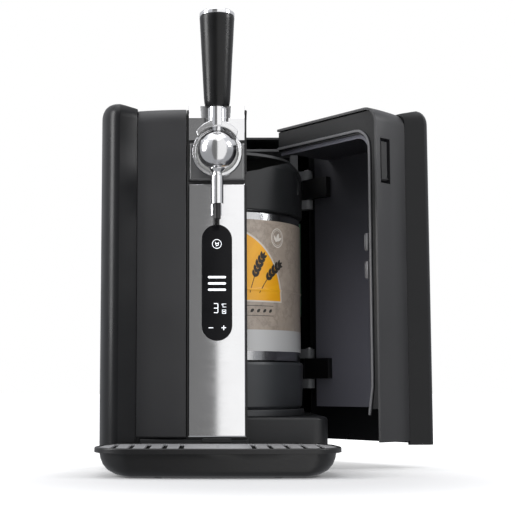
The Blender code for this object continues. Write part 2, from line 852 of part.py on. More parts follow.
def build_power_inlet():
    """A recessed two pin inlet, seated in the rear panel from inside."""
    half = INLET_SOCKET_HALF - SEAT_GAP
    high = INLET_SOCKET_HIGH - SEAT_GAP
    wall = INLET_SOCKET_WALL
    outer = rounded_rectangle(
        (INLET_SOCKET_X - half, INLET_SOCKET_Z - high),
        (INLET_SOCKET_X + half, INLET_SOCKET_Z + high),
        INLET_SOCKET_RIM - SEAT_GAP,
        2,
    )
    front = BODY_BACK - INLET_SOCKET_DEPTH
    inlet = add_piece("power_inlet", prism(outer, front, BODY_BACK, "y"), "black_plastic")
    well = rounded_rectangle(
        (INLET_SOCKET_X - half + wall, INLET_SOCKET_Z - high + wall),
        (INLET_SOCKET_X + half - wall, INLET_SOCKET_Z + high - wall),
        INLET_SOCKET_RIM / 2,
        2,
    )
    shape_with(inlet, prism(well, front + wall, BODY_BACK + CUT_OVER, "y"))
    flange_front = BODY_BACK - WALL - SEAT_GAP - wall
    flange = block(
        (INLET_SOCKET_X - half - wall, flange_front, INLET_SOCKET_Z - high - wall),
        (INLET_SOCKET_X + half + wall, flange_front + wall, INLET_SOCKET_Z + high + wall),
    )
    shape_with(inlet, flange, "UNION")
    shape_with(inlet, prism(well, front + wall, BODY_BACK + CUT_OVER, "y"))


def build_column():
    back = COLUMN_FRONT + COLUMN_DEPTH
    column = add_piece(
        "column_frame",
        block(
            (-COLUMN_HALF, COLUMN_FRONT, PLINTH_TOE_TOP + SEAT_GAP),
            (COLUMN_HALF, back, COLUMN_FLANGE_TOP),
        ),
        "black_plastic",
    )
    bulge = [
        (0, COLUMN_FLANGE_LOW),
        (COLUMN_HALF, COLUMN_FLANGE_LOW),
        (COLUMN_FLANGE_HALF, COLUMN_FLANGE_LOW + COLUMN_DEPTH),
        (COLUMN_FLANGE_HALF, COLUMN_FLANGE_TOP - COLUMN_DEPTH * 2),
        (COLUMN_HALF + JOINT_GAP, COLUMN_FLANGE_TOP),
        (0, COLUMN_FLANGE_TOP),
    ]
    shape_with(column, prism(bulge, COLUMN_FRONT, back, "y"), "UNION")
    pocket_half = WINDOW_HALF
    pocket = block(
        (-pocket_half, COLUMN_FRONT - CUT_OVER, WINDOW_LOW),
        (pocket_half, COLUMN_FRONT + COLUMN_DEPTH / 2, WINDOW_HIGH),
    )
    elbow = block(
        (-INLET_HALF - SEAT_GAP, COLUMN_FRONT - CUT_OVER, INLET_LOW - SEAT_GAP),
        (INLET_HALF + SEAT_GAP, back + CUT_OVER, INLET_TOP + SEAT_GAP),
    )
    keeper = block(
        (TRIM_HALF + SEAT_GAP, COLUMN_FRONT - CUT_OVER, LATCH_AXIS_Z - LATCH_EYE_RADIUS * 2),
        (COLUMN_HALF + CUT_OVER, back + CUT_OVER, LATCH_AXIS_Z + LATCH_EYE_RADIUS * 2),
    )
    shape_with(column, merged(merged(pocket, elbow), keeper))
    slope = (CAP_LEAN - TRIM_WALL / 2) / (CAP_TOP - TRIM_WALL - CAP_BREAK)
    lean = [
        (-CUT_OVER, CAP_BREAK - SEAT_GAP),
        (COLUMN_FRONT, CAP_BREAK - SEAT_GAP),
        (COLUMN_FRONT + slope * (CAP_TOP - CAP_BREAK), CAP_TOP),
        (-CUT_OVER, CAP_TOP),
    ]
    half = COLUMN_FLANGE_HALF - SEAT_GAP * 4
    shape_with(column, prism(lean, -half, half, "x"))


def pill(half_width, low, high):
    """An upright slot outline with round ends."""
    top = arc((0, high - half_width), half_width, 0, math.pi, CORNER_FACETS * 2)
    foot = arc((0, low + half_width), half_width, math.pi, 2 * math.pi, CORNER_FACETS * 2)
    return top + foot


def bevel_front(bm, front, width):
    edges = [edge for edge in bm.edges if all(v.co.y < front + SEAT_GAP for v in edge.verts)]
    bmesh.ops.bevel(bm, geom=edges, offset=width, segments=1, affect="EDGES", profile=0.5)


def build_chrome():
    strip = block((-TRIM_HALF, 0, LEFT_PANEL_BOTTOM), (TRIM_HALF, TRIM_WALL, TRIM_TOP))
    bevel_front(strip, 0, TRIM_BEVEL)
    trim = add_piece("front_trim", strip, "chrome")
    hole = pill(
        WINDOW_HALF + SEAT_GAP, WINDOW_LOW - SEAT_GAP, WINDOW_HIGH + SEAT_GAP
    )
    shape_with(trim, prism(hole, -CUT_OVER, TRIM_WALL + CUT_OVER, "y"))

    face = block((-BLOCK_HALF, BLOCK_FRONT, BLOCK_LOW), (BLOCK_HALF, TRIM_WALL, BLOCK_TOP))
    bevel_front(face, BLOCK_FRONT, BLOCK_BEVEL)
    tap_block = add_piece("tap_block", face, "chrome")
    bore = [
        (0, BLOCK_FRONT - CUT_OVER),
        (SHANK_RADIUS + SEAT_GAP, BLOCK_FRONT - CUT_OVER),
        (SHANK_RADIUS + SEAT_GAP, TRIM_WALL + CUT_OVER),
        (0, TRIM_WALL + CUT_OVER),
    ]
    shape_with(tap_block, turned(bore, (0, 0, BALL_Z), "y", SMALL_FACETS))

    side = [
        (0, CAP_LOW),
        (0, CAP_BREAK),
        (CAP_LEAN, CAP_TOP),
        (CAP_BACK, CAP_TOP),
        (CAP_BACK, CAP_TOP - TRIM_WALL),
        (CAP_LEAN + TRIM_WALL / 2, CAP_TOP - TRIM_WALL),
        (TRIM_WALL, CAP_BREAK),
        (TRIM_WALL, CAP_LOW),
    ]
    cap = prism(side, -TRIM_HALF, TRIM_HALF, "x")
    rim = [
        edge
        for edge in cap.edges
        if len(edge.link_faces) == 2
        and all(abs(v.co.x) > TRIM_HALF - SEAT_GAP for v in edge.verts)
        and edge.verts[0].co.x * edge.verts[1].co.x > 0
        and min(v.co.y for v in edge.verts) < CAP_LEAN / 2
        and max(v.co.y for v in edge.verts) < CAP_LEAN + SEAT_GAP
        and abs(sum(v.co.y for v in edge.verts) / 2 - TRIM_WALL) > SEAT_GAP
    ]
    bmesh.ops.bevel(cap, geom=rim, offset=TRIM_BEVEL / 2, segments=1, affect="EDGES", profile=0.5)
    add_piece("tap_cap_plate", cap, "chrome")


def build_display():
    outline = pill(WINDOW_HALF, WINDOW_LOW, WINDOW_HIGH)
    window = prism(outline, WINDOW_FRONT, WINDOW_FRONT + WINDOW_WALL, "y")
    bevel_front(window, WINDOW_FRONT, BOARD_WALL / 4)
    add_piece("display_window", window, "gloss_black")
    front = WINDOW_FRONT + WINDOW_WALL + SEAT_GAP
    board = block(
        (-WINDOW_HALF + BOARD_INSET, front, WINDOW_LOW + WINDOW_HALF / 2),
        (WINDOW_HALF - BOARD_INSET, front + BOARD_WALL, WINDOW_HIGH - WINDOW_HALF / 2),
    )
    add_piece("display_board", board, "circuit_green")


def build_tap_collar():
    """From a shield shaped foot on the block out to a round ring that holds the ball."""
    steps = TAP_FACETS
    half_turn = math.pi / steps
    angles = [2 * math.pi * i / steps + half_turn for i in range(steps)]

    def ring(y, radius, low, half):
        points = []
        for angle in angles:
            x = radius * math.cos(angle)
            z = radius * math.sin(angle)
            if z < 0:
                x = max(-half, min(half, x * low / radius * radius / COLLAR_FOOT_DROP))
                z = -low * min(1.0, -math.sin(angle) * math.sqrt(2) * 0.86)
            points.append((x, y, BALL_Z + z))
        return points

    foot = BLOCK_FRONT - SEAT_GAP
    front = COLLAR_FRONT
    neck = foot + (front - foot) / 2
    rings = [
        ring(foot, COLLAR_FOOT_RADIUS, COLLAR_FOOT_DROP, COLLAR_FOOT_HALF),
        ring(neck, COLLAR_FOOT_RADIUS, COLLAR_FOOT_DROP, COLLAR_FOOT_HALF),
    ]
    radii = [
        (front + COLLAR_LIP * 2, COLLAR_RING_RADIUS - COLLAR_LIP / 2),
        (front + COLLAR_LIP / 2, COLLAR_RING_RADIUS),
        (front, COLLAR_RING_RADIUS - COLLAR_LIP / 3),
        (front, COLLAR_BORE_RADIUS + COLLAR_LIP / 4),
        (front + COLLAR_LIP / 3, COLLAR_BORE_RADIUS),
        (SEAT_RING_BACK + COLLAR_LIP, COLLAR_BORE_RADIUS),
        (COLLAR_FLOOR, SHANK_RADIUS * 2),
        (COLLAR_FLOOR, SHANK_RADIUS + SEAT_GAP),
        (foot, SHANK_RADIUS + SEAT_GAP),
    ]
    for y, radius in radii:
        rings.append(
            [(radius * math.cos(a), y, BALL_Z + radius * math.sin(a)) for a in angles]
        )
    bm = bmesh.new()
    loops = [[bm.verts.new(point) for point in points] for points in rings]
    for first, second in zip(loops, loops[1:] + loops[:1]):
        for i in range(steps):
            j = (i + 1) % steps
            bm.faces.new((first[i], first[j], second[j], second[i]))
    add_piece("tap_collar", bm, "chrome")

    ball_gap = BALL_RADIUS + BALL_SEAT_GAP
    reach = SEAT_RING_BACK - BALL_Y
    seat_front = COLLAR_FRONT + COLLAR_LIP
    outer = COLLAR_BORE_RADIUS - SEAT_GAP
    near = seat_front - BALL_Y
    profile = [
        (math.sqrt(ball_gap * ball_gap - near * near), seat_front),
        (outer, seat_front),
        (outer, SEAT_RING_BACK),
        (math.sqrt(ball_gap * ball_gap - reach * reach), SEAT_RING_BACK),
    ]
    seat = turned(profile, (0, 0, BALL_Z), "y", TAP_FACETS)
    add_piece("tap_seat_ring", seat, "ceramic_white")
    shank_front = BALL_Y + ball_gap
    shank = [
        (0, shank_front),
        (COLLAR_BORE_RADIUS / 2, shank_front),
        (SHANK_RADIUS, COLLAR_FLOOR - COLLAR_LIP),
        (SHANK_RADIUS, COLUMN_FRONT + WALL / 2),
        (0, COLUMN_FRONT + WALL / 2),
    ]
    add_piece("tap_shank", turned(shank, (0, 0, BALL_Z), "y", SMALL_FACETS), "brushed_steel")


def build_tap_ball():
    half_flat = math.acos(BALL_FLAT / BALL_RADIUS)
    profile = [(0, BALL_FLAT)]
    profile += [(x, z) for z, x in arc((0, 0), BALL_RADIUS, half_flat, math.pi, TAP_FACETS // 2)]
    profile[-1] = (0, -BALL_RADIUS)
    add_piece("tap_ball", turned(profile, (0, BALL_Y, BALL_Z)), "chrome", "tap")


def build_tap_lever():
    rise = SADDLE_TOP_RISE - SADDLE_END_RISE
    start = SADDLE_END_ANGLE
    sweep = math.pi - 2 * start
    steps = TAP_FACETS // 2
    outline = []
    for i in range(steps + 1):
        angle = start + sweep * i / steps
        radius = SADDLE_END_RISE + rise * math.sin(math.pi * i / steps)
        outline.append((radius * math.cos(angle), BALL_Z + radius * math.sin(angle)))
    inner_start = start - SADDLE_HALF_DEPTH / SADDLE_END_RISE / 2
    inner = arc((0, BALL_Z), SADDLE_IN_RADIUS, math.pi - inner_start, inner_start, steps)
    band = prism(
        outline + inner, BALL_Y - SADDLE_HALF_DEPTH, BALL_Y + SADDLE_HALF_DEPTH, "y"
    )
    rims = [edge for edge in band.edges if abs(edge.verts[0].co.y - edge.verts[1].co.y) < SEAT_GAP]
    bmesh.ops.bevel(
        band, geom=rims, offset=SADDLE_EDGE / 2, segments=1, affect="EDGES", profile=0.5
    )
    lever = add_piece("tap_lever", band, "chrome", "tap")
    stem = [
        (0, BALL_Z + BALL_FLAT + SEAT_GAP),
        (SADDLE_FOOT_RADIUS, BALL_Z + BALL_FLAT + SEAT_GAP),
        (SADDLE_FOOT_RADIUS, BALL_Z + SADDLE_IN_RADIUS + SADDLE_EDGE),
        (STEM_RADIUS, BALL_Z + SADDLE_IN_RADIUS + SADDLE_EDGE),
        (STEM_RADIUS, GRIP_BOTTOM - SEAT_GAP),
        (STEM_RADIUS / 2, GRIP_BOTTOM - SEAT_GAP),
        (STEM_RADIUS / 2, GRIP_LOW_HEIGHT + STEM_RADIUS),
        (0, GRIP_LOW_HEIGHT + STEM_RADIUS),
    ]
    shape_with(lever, turned(stem, (0, BALL_Y, 0)), "UNION", "tap")


def build_grip():
    bore = STEM_RADIUS / 2 + SEAT_GAP
    floor = GRIP_LOW_HEIGHT + STEM_RADIUS + SEAT_GAP
    profile = [
        (bore, GRIP_BOTTOM),
        (GRIP_FOOT_RADIUS - GRIP_SOCKET_WALL, GRIP_BOTTOM),
        (GRIP_FOOT_RADIUS + GRIP_SOCKET_WALL / 2, GRIP_BOTTOM + GRIP_SOCKET_WALL),
        (GRIP_LOW_RADIUS - GRIP_SOCKET_WALL / 3, (GRIP_BOTTOM + GRIP_LOW_HEIGHT) / 2),
        (GRIP_LOW_RADIUS, GRIP_LOW_HEIGHT),
        (GRIP_TOP_RADIUS, GRIP_TOP),
        (0, GRIP_TOP),
        (0, floor),
        (bore, floor),
    ]
    add_piece("tap_grip", turned(profile, (0, BALL_Y, 0)), "black_plastic", "tap")
    base = GRIP_TOP + SEAT_GAP
    cap = [
        (0, base),
        (GRIP_TOP_RADIUS, base),
        (GRIP_TOP_RADIUS, GRIP_CAP_EDGE),
        (GRIP_TOP_RADIUS - GRIP_SOCKET_WALL, GRIP_CAP_EDGE + GRIP_SOCKET_WALL),
        (GRIP_TOP_RADIUS * 2 / 3, GRIP_CAP_TOP - GRIP_SOCKET_WALL),
        (GRIP_TOP_RADIUS / 3, GRIP_CAP_TOP - GRIP_SOCKET_WALL / 4),
        (0, GRIP_CAP_TOP),
    ]
    add_piece("tap_grip_cap", turned(cap, (0, BALL_Y, 0)), "chrome", "tap")


def build_spout():
    cup = BALL_RADIUS + BALL_SEAT_GAP
    cup_edge = math.asin(SPOUT_CUP_RADIUS / cup)
    hollow = [
        (x, -z) for z, x in arc((0, 0), cup, 0, cup_edge, CORNER_FACETS)
    ]
    profile = [(x, BALL_Z + z) for x, z in hollow]
    profile[0] = (0, profile[0][1])
    neck_top = BALL_Z - cup - SADDLE_EDGE
    profile += [
        (SPOUT_CUP_RADIUS, profile[-1][1] - SADDLE_EDGE / 2),
        (SPOUT_NECK_RADIUS, neck_top - SADDLE_EDGE),
        (SPOUT_NECK_RADIUS, SPOUT_TOP + SADDLE_EDGE),
        (SPOUT_RADIUS - SADDLE_EDGE / 2, SPOUT_TOP),
        (SPOUT_RADIUS, SPOUT_TOP - SADDLE_EDGE / 2),
        (SPOUT_RADIUS, SPOUT_LOW),
        (SPOUT_BORE, SPOUT_LOW),
        (SPOUT_BORE, SPOUT_LOW + NOZZLE_INSERT + SEAT_GAP),
        (0, SPOUT_LOW + NOZZLE_INSERT + SEAT_GAP),
    ]
    spout = add_piece("spout_tube", turned(profile, (0, BALL_Y, 0), steps=TAP_FACETS), "chrome")
    top = BALL_Z - SPOUT_ARM_DROP + SPOUT_ARM_HEIGHT / 2
    arm = block(
        (-SPOUT_ARM_HALF, BALL_Y, top - SPOUT_ARM_HEIGHT),
        (SPOUT_ARM_HALF, COLLAR_FRONT - SEAT_GAP, top),
    )
    shape_with(spout, arm, "UNION")
    bore = [
        (NOZZLE_BORE, NOZZLE_LOW),
        (NOZZLE_RADIUS - SADDLE_EDGE / 3, NOZZLE_LOW),
        (NOZZLE_RADIUS, NOZZLE_LOW + SADDLE_EDGE / 3),
        (NOZZLE_RADIUS, SPOUT_LOW + NOZZLE_INSERT),
        (NOZZLE_BORE, SPOUT_LOW + NOZZLE_INSERT),
    ]
    nozzle = turned(bore, (0, BALL_Y, 0), steps=SMALL_FACETS)
    add_piece("spout_nozzle", nozzle, "black_plastic")


def tube_along(name, points, radius, finish, facets=3):
    """A round tube through hand chosen points, read from one smooth curve."""
    curve = bpy.data.curves.new(name, "CURVE")
    curve.dimensions = "3D"
    curve.bevel_depth = radius
    curve.bevel_resolution = facets
    curve.use_fill_caps = True
    smooth = smooth_route(points)
    spline = curve.splines.new("POLY")
    spline.points.add(len(smooth) - 1)
    for slot, point in zip(spline.points, smooth):
        slot.co = (*point, 1)
    tube = bpy.data.objects.new(name, curve)
    bpy.context.scene.collection.objects.link(tube)
    tube.parent = carriers["machine"][0]
    curve.materials.append(finish_material(finish))
    return tube


def smooth_route(points, steps=4):
    """A Catmull-Rom curve through the points, whose end stretches stay straight."""
    points = [Vector(p) for p in points]
    padded = [points[0] * 2 - points[1], *points, points[-1] * 2 - points[-2]]
    route = []
    for a, b, c, d in zip(padded, padded[1:], padded[2:], padded[3:]):
        for i in range(steps):
            t = i / steps
            route.append(
                0.5
                * (
                    2 * b
                    + (c - a) * t
                    + (2 * a - 5 * b + 4 * c - d) * t * t
                    + (3 * b - a - 3 * c + d) * t * t * t
                )
            )
    return [*route, points[-1]]


def build_beer_line():
    back = COLUMN_FRONT + COLUMN_DEPTH
    front = COLUMN_FRONT + WALL / 2 + SEAT_GAP
    inlet = add_piece(
        "tap_inlet",
        block((-INLET_HALF, front, INLET_LOW), (INLET_HALF, back, INLET_TOP), FOOT_EDGE / 2),
        "black_plastic",
    )
    stub = [(0, 0), (LINE_RADIUS, 0), (LINE_RADIUS, STUB_LENGTH * 2), (0, STUB_LENGTH * 2)]
    stub_place = (0, back - STUB_LENGTH, LINE_Z)
    shape_with(inlet, turned(stub, stub_place, "y", SMALL_FACETS), "UNION")
    start = back + STUB_LENGTH + SEAT_GAP
    end = KEG_Y - COUPLER_RADIUS - COUPLER_PORT - SEAT_GAP
    middle = (start + end) / 2
    lead = LINE_RADIUS * 2
    tube_along(
        "beer_tube",
        [
            (0, start, LINE_Z),
            (0, start + lead, LINE_Z),
            (LINE_BOW / 3, start + lead * 2, LINE_Z),
            (LINE_BOW, middle, LINE_Z),
            (LINE_BOW / 3, end - lead * 2, LINE_Z),
            (0, end - lead, LINE_Z),
            (0, end, LINE_Z),
        ],
        LINE_RADIUS,
        "clear_hose",
    )
    top = CEILING_BOTTOM - SEAT_GAP
    profile = [
        (0, COUPLER_LOW),
        (COUPLER_LIP_RADIUS, COUPLER_LOW),
        (COUPLER_RADIUS, COUPLER_SHOULDER),
        (COUPLER_RADIUS, top - COUPLER_FLANGE * 2),
        (COUPLER_FLANGE_RADIUS, top - COUPLER_FLANGE),
        (COUPLER_FLANGE_RADIUS, top),
        (0, top),
    ]
    coupler = turned(profile, (0, KEG_Y, 0))
    coupler = add_piece("keg_coupler", coupler, "black_plastic")
    reach = COUPLER_RADIUS + COUPLER_PORT
    port = [(0, 0), (LINE_RADIUS, 0), (LINE_RADIUS, reach), (0, reach)]
    port_place = (0, KEG_Y - reach, LINE_Z)
    shape_with(coupler, turned(port, port_place, "y", SMALL_FACETS), "UNION")


def tray_outline(inset, front_inset=None):
    """The tray's plan set in by a distance: bowed front, widest before the wings."""
    front_inset = inset if front_inset is None else front_inset
    middle_y = TRAY_WIDEST_Y
    half = TRAY_HALF - inset
    corner = arc(
        (TRAY_SHOULDER_HALF, middle_y),
        (half - TRAY_SHOULDER_HALF, middle_y - TRAY_SHOULDER_Y - front_inset),
        0,
        -math.pi / 2,
        2 * CORNER_FACETS,
    )
    bow = TRAY_SHOULDER_Y - TRAY_FRONT_Y
    front_shares = (0.66, 0.33, 0.0, -0.33, -0.66)
    front_y = TRAY_FRONT_Y + front_inset
    front = [(TRAY_SHOULDER_HALF * s, front_y + bow * s * s) for s in front_shares]
    wing_y = TIP_Y - JOINT_GAP * 2 - inset
    fade = max(0, 1 - inset / (TRAY_RIM * 3))
    back_y = wing_y + (TRAY_BACK_Y - TIP_Y + JOINT_GAP * 2) * fade
    step_half = TRAY_STEP_HALF - inset
    back_half = TRAY_BACK_HALF - inset
    bend = (half + back_half) / 2 + (half - back_half) / 4
    side = [
        (step_half, back_y),
        (step_half + TRAY_RIM / 2, wing_y),
        (back_half, wing_y),
        (bend, (back_y + middle_y) / 2),
        *corner,
        *front,
    ]
    return side + [(-x, y) for x, y in reversed(side[: -len(front)])]


def bowl_rings(wall):
    """Height and insets of the bowl's side, as shares of its depth, with a wall added."""
    depth = TRAY_RIM_LOW - TRAY_BOTTOM
    height_side_front_shares = (
        (1.0, 0.22, 0.22),
        (0.74, 0.27, 0.24),
        (0.48, 0.38, 0.28),
        (0.25, 0.58, 0.36),
        (0.08, 0.90, 0.50),
        (0.0, 1.25, 0.70),
    )
    return [
        (max(TRAY_BOTTOM + depth * high, TRAY_BOTTOM + wall), depth * side + wall, depth * front + wall)
        for high, side, front in height_side_front_shares
    ]


def build_tray():
    rings = bowl_rings(0)[::-1]
    rings += [
        (TRAY_RIM_LOW, 0, 0),
        (TRAY_TOP - TRAY_RIM / 3, 0, 0),
        (TRAY_TOP, TRAY_RIM / 4, TRAY_RIM / 4),
        (TRAY_TOP, TRAY_RIM, TRAY_RIM),
        (TRAY_GRID_SEAT, TRAY_RIM, TRAY_RIM),
        (TRAY_GRID_SEAT, TRAY_RIM + TRAY_GRID_LEDGE, TRAY_RIM + TRAY_GRID_LEDGE),
    ]
    rings += bowl_rings(TRAY_WALL)[1:]
    bm = bmesh.new()
    loops = []
    for z, side, front in rings:
        loops.append([bm.verts.new((x, y, z)) for x, y in tray_outline(side, front)])
    count = len(loops[0])
    for first, second in zip(loops, loops[1:]):
        for i in range(count):
            j = (i + 1) % count
            bm.faces.new((first[i], first[j], second[j], second[i]))
    bm.faces.new(loops[0])
    bm.faces.new(loops[-1])
    tray = add_piece("drip_tray", bm, "black_plastic", "tray")
    for side in (-1, 1):
        foot = [
            (0, 0),
            (TRAY_FOOT_RADIUS, 0),
            (TRAY_FOOT_RADIUS, TRAY_BOTTOM + TRAY_WALL / 2),
            (0, TRAY_BOTTOM + TRAY_WALL / 2),
        ]
        place = (side * TRAY_FOOT_HALF, TRAY_FOOT_Y, 0)
        shape_with(tray, turned(foot, place, steps=SMALL_FACETS // 2), "UNION", "tray")
    tab = block(
        (-TRAY_TAB_HALF, TRAY_BACK_Y - TRAY_TAB_WALL, TRAY_TOP + SEAT_GAP),
        (TRAY_TAB_HALF, TRAY_BACK_Y, TRAY_TAB_TOP),
    )
    add_piece("tray_tab", tab, "black_plastic", "tray")


def slot_outline(x, y_low, y_high, width):
    half = width / 2
    top = arc((x, y_high - half), half, 0, math.pi, CORNER_FACETS // 2)
    foot = arc((x, y_low + half), half, math.pi, 2 * math.pi, CORNER_FACETS // 2)
    return top + foot


def build_grid():
    base = TRAY_GRID_SEAT + SEAT_GAP
    outline = tray_outline(TRAY_RIM + SEAT_GAP)
    grid = add_piece("drip_grid", prism(outline, base, base + GRID_WALL), "brushed_steel", "grid")
    cuts = None
    for side in (-1, 1):
        for i in range(GRID_SLOT_COUNT):
            x = side * (GRID_SLOT_FIRST + GRID_SLOT_PITCH * i)
            slot = slot_outline(x, GRID_SLOT_FRONT_Y, GRID_SLOT_BACK_Y, GRID_SLOT_WIDTH)
            cut = prism(slot, base - CUT_OVER, base + GRID_WALL + CUT_OVER)
            cuts = merged(cuts, cut) if cuts else cut
    petals = GRID_ROSE_SLOTS * 2
    for i in range(petals):
        petal = slot_outline(
            0, GRID_ROSE_RADIUS / 2, GRID_ROSE_RADIUS, GRID_SLOT_WIDTH * 2 / 3
        )
        cut = prism(petal, base - CUT_OVER, base + GRID_WALL + CUT_OVER)
        turn = Matrix.Rotation(2 * math.pi * i / petals, 3, "Z")
        bmesh.ops.rotate(cut, verts=cut.verts, cent=(0, 0, 0), matrix=turn)
        bmesh.ops.translate(cut, verts=cut.verts, vec=(0, GRID_ROSE_Y, 0))
        cuts = merged(cuts, cut)
    shape_with(grid, cuts, "DIFFERENCE", "grid")


def crown_radius(z):
    """The keg crown's outer radius at a height."""
    if z <= CROWN_BEND:
        return KEG_RING_RADIUS
    share = (z - CROWN_BEND) / (CROWN_TOP - CROWN_BEND)
    return KEG_RING_RADIUS - (KEG_RING_RADIUS - CROWN_MOUTH_RADIUS) * share**1.4


def build_keg():
    bore = VALVE_RADIUS + SEAT_GAP
    inside = KEG_RADIUS - KEG_WALL
    toe_z = KEG_FLOOR + KEG_TOE_RISE
    low_z = KEG_FLOOR + BASE_RING_WALL
    body_low = KEG_RADIUS - BASE_RING_WALL * 2
    profile = [
        (0, low_z + KEG_TOE_RISE / 2),
        (KEG_TOE_RADIUS / 2, low_z + KEG_TOE_RISE / 3),
        (KEG_TOE_RADIUS, low_z),
        (body_low, toe_z),
        (body_low, KEG_BASE_TOP - WALL),
        (KEG_RADIUS, KEG_BASE_TOP + SEAT_GAP + WALL / 2),
        (KEG_RADIUS, KEG_SHOULDER),
        (KEG_RADIUS - WALL, KEG_SHOULDER + WALL),
        (KEG_RADIUS * 0.86, (KEG_SHOULDER + KEG_DOME_TOP) / 2 + WALL),
        (KEG_RADIUS * 0.55, KEG_DOME_TOP - WALL),
        (KEG_NECK_RADIUS, KEG_DOME_TOP),
        (KEG_NECK_RADIUS, KEG_NECK_TOP),
        (bore, KEG_NECK_TOP),
        (bore, KEG_DOME_TOP - KEG_WALL),
        (KEG_RADIUS * 0.55, KEG_DOME_TOP - WALL - KEG_WALL),
        (KEG_RADIUS * 0.86 - KEG_WALL, (KEG_SHOULDER + KEG_DOME_TOP) / 2 + WALL - KEG_WALL),
        (inside - WALL, KEG_SHOULDER + WALL - KEG_WALL),
        (inside, KEG_SHOULDER - KEG_WALL),
        (inside, KEG_BASE_TOP + WALL),
        (body_low - KEG_WALL, KEG_BASE_TOP - WALL + KEG_WALL),
        (body_low - KEG_WALL, toe_z + KEG_WALL),
        (KEG_TOE_RADIUS, low_z + KEG_WALL * 2),
        (KEG_TOE_RADIUS / 2, low_z + KEG_TOE_RISE / 3 + KEG_WALL),
        (0, low_z + KEG_TOE_RISE / 2 + KEG_WALL),
    ]
    shell = turned(profile, (0, KEG_Y, 0), steps=KEG_FACETS)
    add_piece("keg_shell", shell, "brushed_steel", "keg")

    inner = KEG_RADIUS + SEAT_GAP
    outer = inner + LABEL_WALL
    label = [
        (inner, LABEL_BOTTOM),
        (outer, LABEL_BOTTOM),
        (outer, BEAD_HEIGHT - BEAD_HALF),
        (outer + BEAD_RISE, BEAD_HEIGHT),
        (outer, BEAD_HEIGHT + BEAD_HALF),
        (outer, LABEL_TOP),
        (inner, LABEL_TOP),
    ]
    band = turned(label, (0, KEG_Y, 0), steps=KEG_FACETS)
    add_piece("keg_label", band, "label_print", "keg")

    foot = KEG_RING_RADIUS - BASE_RING_TAPER
    ring_inner = KEG_RING_RADIUS - BASE_RING_WALL
    base = [
        (KEG_TOE_RADIUS - WALL, KEG_FLOOR),
        (foot - WALL, KEG_FLOOR),
        (foot, KEG_FLOOR + WALL),
        (KEG_RING_RADIUS, KEG_BASE_TOP - WALL),
        (KEG_RING_RADIUS - WALL / 3, KEG_BASE_TOP),
        (KEG_RADIUS + JOINT_GAP, KEG_BASE_TOP),
        (ring_inner - WALL, KEG_BASE_TOP - WALL * 2),
        (ring_inner - WALL, toe_z),
        (KEG_TOE_RADIUS + SEAT_GAP, KEG_FLOOR + BASE_RING_WALL - SEAT_GAP * 2),
        (KEG_TOE_RADIUS - WALL, KEG_FLOOR + BASE_RING_WALL - SEAT_GAP * 2),
    ]
    ring = turned(base, (0, KEG_Y, 0), steps=KEG_FACETS)
    add_piece("keg_base_ring", ring, "black_plastic", "keg")

    heights = [CROWN_BEND + (CROWN_TOP - CROWN_BEND) * i / 3 for i in range(4)]
    crown = [(KEG_RING_RADIUS - WALL / 3, KEG_CROWN_BOTTOM)]
    crown += [(KEG_RING_RADIUS, KEG_CROWN_BOTTOM + WALL / 3)]
    crown += [(crown_radius(z), z) for z in heights]
    crown += [
        (crown_radius(z) - CROWN_WALL, min(z, CROWN_TOP - SEAT_GAP)) for z in reversed(heights)
    ]
    crown += [
        (KEG_RING_RADIUS - CROWN_WALL, KEG_CROWN_BOTTOM + WALL * 2),
        (KEG_RADIUS + SEAT_GAP - WALL, KEG_CROWN_BOTTOM + WALL * 2),
        (KEG_RADIUS + SEAT_GAP - WALL, KEG_CROWN_BOTTOM + SEAT_GAP),
        (KEG_RADIUS + SEAT_GAP - KEG_WALL, KEG_CROWN_BOTTOM),
    ]
    top = turned(crown, (0, KEG_Y, 0), steps=KEG_FACETS)
    top = add_piece("keg_crown", top, "black_plastic", "keg")
    lip_shares = (-1.0, -0.8, -0.55, -0.28, 0.0, 0.28, 0.55, 0.8, 1.0)
    rise = CROWN_LIP_TOP - CROWN_LIP_LOW
    lip = [
        (CROWN_LIP_HALF * s, CROWN_LIP_LOW + rise * s * s * 0.98) for s in lip_shares
    ]
    hatch = [*lip, (0, CROWN_LIP_TOP + SEAT_GAP)]
    opening = prism(hatch, KEG_Y - KEG_RING_RADIUS - CUT_OVER, KEG_Y - KEG_RING_RADIUS / 3, "y")
    finger = prism(
        arc((0, SLOT_HEIGHT), (SLOT_HALF_WIDE, SLOT_HALF_HIGH), 0, 2 * math.pi, SMALL_FACETS)[:-1],
        -KEG_RING_RADIUS - CUT_OVER,
        -KEG_RING_RADIUS + CROWN_WALL + CUT_OVER,
        "y",
    )
    turn = Matrix.Rotation(math.pi / 2 + SLOT_ANGLE, 3, "Z")
    bmesh.ops.rotate(finger, verts=finger.verts, cent=(0, 0, 0), matrix=turn)
    bmesh.ops.translate(finger, verts=finger.verts, vec=(0, KEG_Y, 0))
    shape_with(top, merged(opening, finger), "DIFFERENCE", "keg")

    valve = [
        (0, KEG_DOME_TOP - WALL * 2),
        (VALVE_RADIUS, KEG_DOME_TOP - WALL * 2),
        (VALVE_RADIUS, KEG_NECK_TOP + SEAT_GAP),
        (VALVE_CAP_RADIUS, KEG_NECK_TOP + SEAT_GAP),
        (VALVE_CAP_RADIUS, KEG_NECK_TOP + VALVE_CAP_HEIGHT),
        (VALVE_RADIUS, KEG_NECK_TOP + VALVE_CAP_HEIGHT),
        (VALVE_RADIUS - WALL, VALVE_TOP),
        (0, VALVE_TOP),
    ]
    add_piece("keg_valve", turned(valve, (0, KEG_Y, 0), steps=TAP_FACETS), "black_plastic", "keg")


